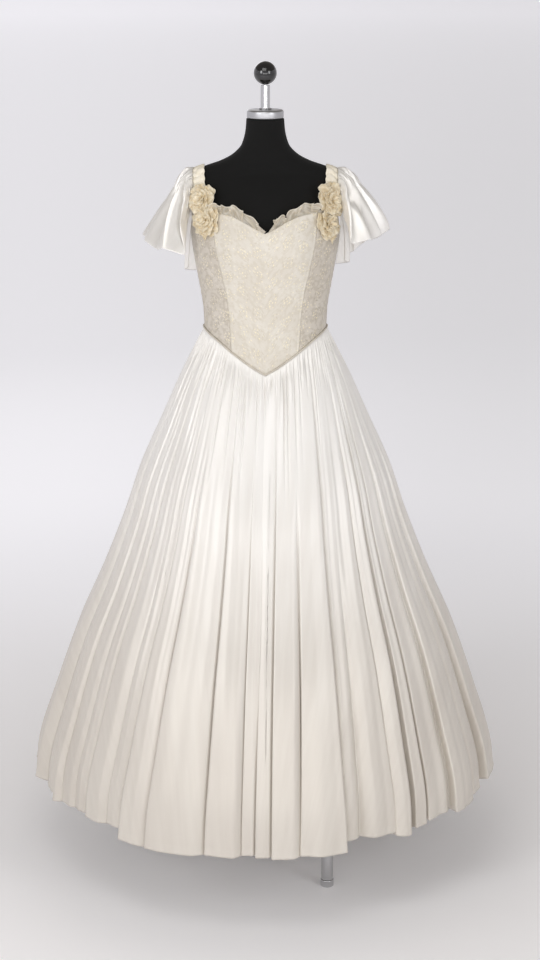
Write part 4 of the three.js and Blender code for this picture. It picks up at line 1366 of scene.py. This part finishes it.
# Studio
def add_light(name, place, aim, size, power, colour):
    light = bpy.data.lights.new(name, "AREA")
    light.shape = "RECTANGLE"
    light.size, light.size_y = size
    light.energy = power
    light.color = colour
    obj = bpy.data.objects.new(name, light)
    bpy.context.collection.objects.link(obj)
    obj.location = place
    obj.visible_camera = False
    obj.rotation_euler = (Vector(aim) - Vector(place)).to_track_quat("-Z", "Y").to_euler()


def build_camera():
    camera = bpy.data.cameras.new("camera")
    camera.lens = CAMERA_LENS
    camera.sensor_width = 36
    camera.sensor_fit = "AUTO"
    camera.dof.use_dof = False
    camera.clip_end = 200
    obj = bpy.data.objects.new("camera", camera)
    bpy.context.collection.objects.link(obj)
    obj.location = Vector((CAMERA_X, -CAMERA_DISTANCE, CAMERA_HEIGHT)) * MM
    obj.rotation_euler = (math.radians(90 - CAMERA_PITCH), 0, 0)
    bpy.context.scene.camera = obj


def build_studio(settings):
    select_none()
    bpy.ops.mesh.primitive_circle_add(vertices=128, radius=STUDIO_RADIUS, fill_type="NGON")
    paper = bpy.context.object
    paper.name = "studio_paper"
    bpy.ops.object.mode_set(mode="EDIT")
    bpy.ops.mesh.select_mode(type="EDGE")
    bpy.ops.mesh.select_all(action="SELECT")
    bpy.ops.mesh.region_to_loop()
    bpy.ops.mesh.extrude_region_move(TRANSFORM_OT_translate={"value": (0, 0, STUDIO_RISE)})
    bpy.ops.mesh.select_all(action="DESELECT")
    bpy.ops.object.mode_set(mode="OBJECT")
    rounding = paper.modifiers.new("rounding", "BEVEL")
    rounding.width = STUDIO_RISE * 0.6
    rounding.segments = 10
    rounding.limit_method = "ANGLE"
    rounding.angle_limit = math.radians(40)
    bpy.ops.object.modifier_apply(modifier=rounding.name)
    paper.data.shade_smooth()
    paper.data.materials.append(backdrop_finish())

    world = bpy.data.worlds.new("studio_air")
    bpy.context.scene.world = world
    world.use_nodes = True
    air = world.node_tree.nodes["Background"]
    air.inputs["Color"].default_value = (*rgb("F6EEE6"), 1)
    air.inputs["Strength"].default_value = settings.air_strength
    for name, place, aim, size, power, colour in LIGHTS:
        add_light(name, place, aim, size, power * settings.light_strength, colour)
    bpy.context.scene.view_settings.view_transform = "Standard"


# The add-on's settings, operators and panel
def colour_setting(name, description, default):
    return bpy.props.FloatVectorProperty(
        name=name, description=description, default=default, subtype="COLOR", size=3, min=0, max=1
    )


def length_setting(name, description, default):
    return bpy.props.FloatProperty(
        name=name, description=description, default=default * MM, unit="LENGTH", min=0
    )


def strength_setting(name, description, default):
    return bpy.props.FloatProperty(
        name=name, description=description, default=default, subtype="FACTOR", min=0, soft_max=2
    )


class GownSettings(bpy.types.PropertyGroup):
    """The sizes, colours and lights that a user would change."""

    ruffle_height: length_setting(
        "Ruffle height", "Height of the neckline's organza ruffles", RUFFLE_HEIGHT
    )
    cord_radius: length_setting("Cord radius", "Radius of the waist's covered cord", CORD_RADIUS)
    gather_count: bpy.props.IntProperty(
        name="Waist gathers",
        description="Number of small gathers round the skirt's waist",
        default=GATHER_COUNT,
        min=1,
    )
    satin_colour: colour_setting(
        "Satin", "Pale tone of the skirt's and the sleeves' satin", rgb("F0EEEA")
    )
    brocade_colour: colour_setting(
        "Brocade", "Pale tone of the front panel's brocade", rgb("DBD6CB")
    )
    organza_colour: colour_setting(
        "Organza", "Pale tone of the rosettes' organza", rgb("FCF5E2")
    )
    piping_colour: colour_setting("Piping", "Pale tone of the waist's cord", rgb("CFC7B9"))
    form_colour: colour_setting(
        "Form cover", "Pale tone of the dress form's cover", (0.0065, 0.0064, 0.0060)
    )
    paper_colour: colour_setting("Floor", "Colour of the studio's floor", rgb("DCDADD"))
    air_strength: strength_setting(
        "Air strength", "Strength of the soft light from all round", 0.29
    )
    light_strength: strength_setting(
        "Light strength", "Strength of the lights, 1 for the photograph's exposure", 1.0
    )


class GOWN_OT_camera(bpy.types.Operator):
    """Place the camera at the photograph's viewing angle"""

    bl_idname = "gown.camera"
    bl_label = "Camera"

    def execute(self, context):
        build_camera()
        return {"FINISHED"}


class GOWN_OT_studio(bpy.types.Operator):
    """Lay the pale floor and hang the lights"""

    bl_idname = "gown.studio"
    bl_label = "Studio"

    def execute(self, context):
        build_studio(context.scene.gown)
        return {"FINISHED"}


class GOWN_OT_form(bpy.types.Operator):
    """Build the dress form's covered torso"""

    bl_idname = "gown.form"
    bl_label = "Dress form"

    def execute(self, context):
        build_form()
        return {"FINISHED"}


class GOWN_OT_finial(bpy.types.Operator):
    """Build the neck cap, the rod and the ball"""

    bl_idname = "gown.finial"
    bl_label = "Cap, rod and ball"

    def execute(self, context):
        build_finial()
        return {"FINISHED"}


class GOWN_OT_stand(bpy.types.Operator):
    """Build the pole, the hub, the legs and their tips"""

    bl_idname = "gown.stand"
    bl_label = "Stand"

    def execute(self, context):
        build_stand()
        return {"FINISHED"}


class GOWN_OT_bodice(bpy.types.Operator):
    """Build the brocade panels of the bodice"""

    bl_idname = "gown.bodice"
    bl_label = "Bodice"

    def execute(self, context):
        build_bodice()
        return {"FINISHED"}


class GOWN_OT_piping(bpy.types.Operator):
    """Lay the cord over the waist seam"""

    bl_idname = "gown.piping"
    bl_label = "Waist piping"

    def execute(self, context):
        build_piping(context.scene.gown)
        return {"FINISHED"}


class GOWN_OT_straps(bpy.types.Operator):
    """Build the shirred shoulder straps"""

    bl_idname = "gown.straps"
    bl_label = "Straps"

    def execute(self, context):
        build_straps()
        return {"FINISHED"}


class GOWN_OT_sleeves(bpy.types.Operator):
    """Build the flutter sleeves"""

    bl_idname = "gown.sleeves"
    bl_label = "Sleeves"

    def execute(self, context):
        build_sleeves()
        return {"FINISHED"}


class GOWN_OT_ruffles(bpy.types.Operator):
    """Build the organza ruffles of the neckline"""

    bl_idname = "gown.ruffles"
    bl_label = "Neckline ruffles"

    def execute(self, context):
        build_ruffles(context.scene.gown)
        return {"FINISHED"}


class GOWN_OT_rosettes(bpy.types.Operator):
    """Build the organza rosettes petal by petal"""

    bl_idname = "gown.rosettes"
    bl_label = "Rosettes"

    def execute(self, context):
        build_rosettes()
        return {"FINISHED"}


class GOWN_OT_skirt(bpy.types.Operator):
    """Build the gathered satin skirt"""

    bl_idname = "gown.skirt"
    bl_label = "Skirt"

    def execute(self, context):
        build_skirt(context.scene.gown)
        return {"FINISHED"}


OPERATORS = (
    GOWN_OT_camera,
    GOWN_OT_studio,
    GOWN_OT_form,
    GOWN_OT_finial,
    GOWN_OT_stand,
    GOWN_OT_bodice,
    GOWN_OT_piping,
    GOWN_OT_straps,
    GOWN_OT_sleeves,
    GOWN_OT_ruffles,
    GOWN_OT_rosettes,
    GOWN_OT_skirt,
)


class GOWN_PT_panel(bpy.types.Panel):
    """The gown's settings and pieces"""

    bl_idname = "GOWN_PT_panel"
    bl_label = "Ball gown"
    bl_space_type = "VIEW_3D"
    bl_region_type = "UI"
    bl_category = "Gown"

    def draw(self, context):
        settings = context.scene.gown
        for name in settings.__annotations__:
            self.layout.prop(settings, name)
        for operator in OPERATORS:
            self.layout.operator(operator.bl_idname)


CLASSES = (GownSettings, *OPERATORS, GOWN_PT_panel)


def register():
    for cls in CLASSES:
        bpy.utils.register_class(cls)
    bpy.types.Scene.gown = bpy.props.PointerProperty(type=GownSettings)


def unregister():
    del bpy.types.Scene.gown
    for cls in reversed(CLASSES):
        bpy.utils.unregister_class(cls)


def main():
    register()
    for operator in OPERATORS:
        group, name = operator.bl_idname.split(".")
        getattr(getattr(bpy.ops, group), name)()


if __name__ == "__main__":
    main()
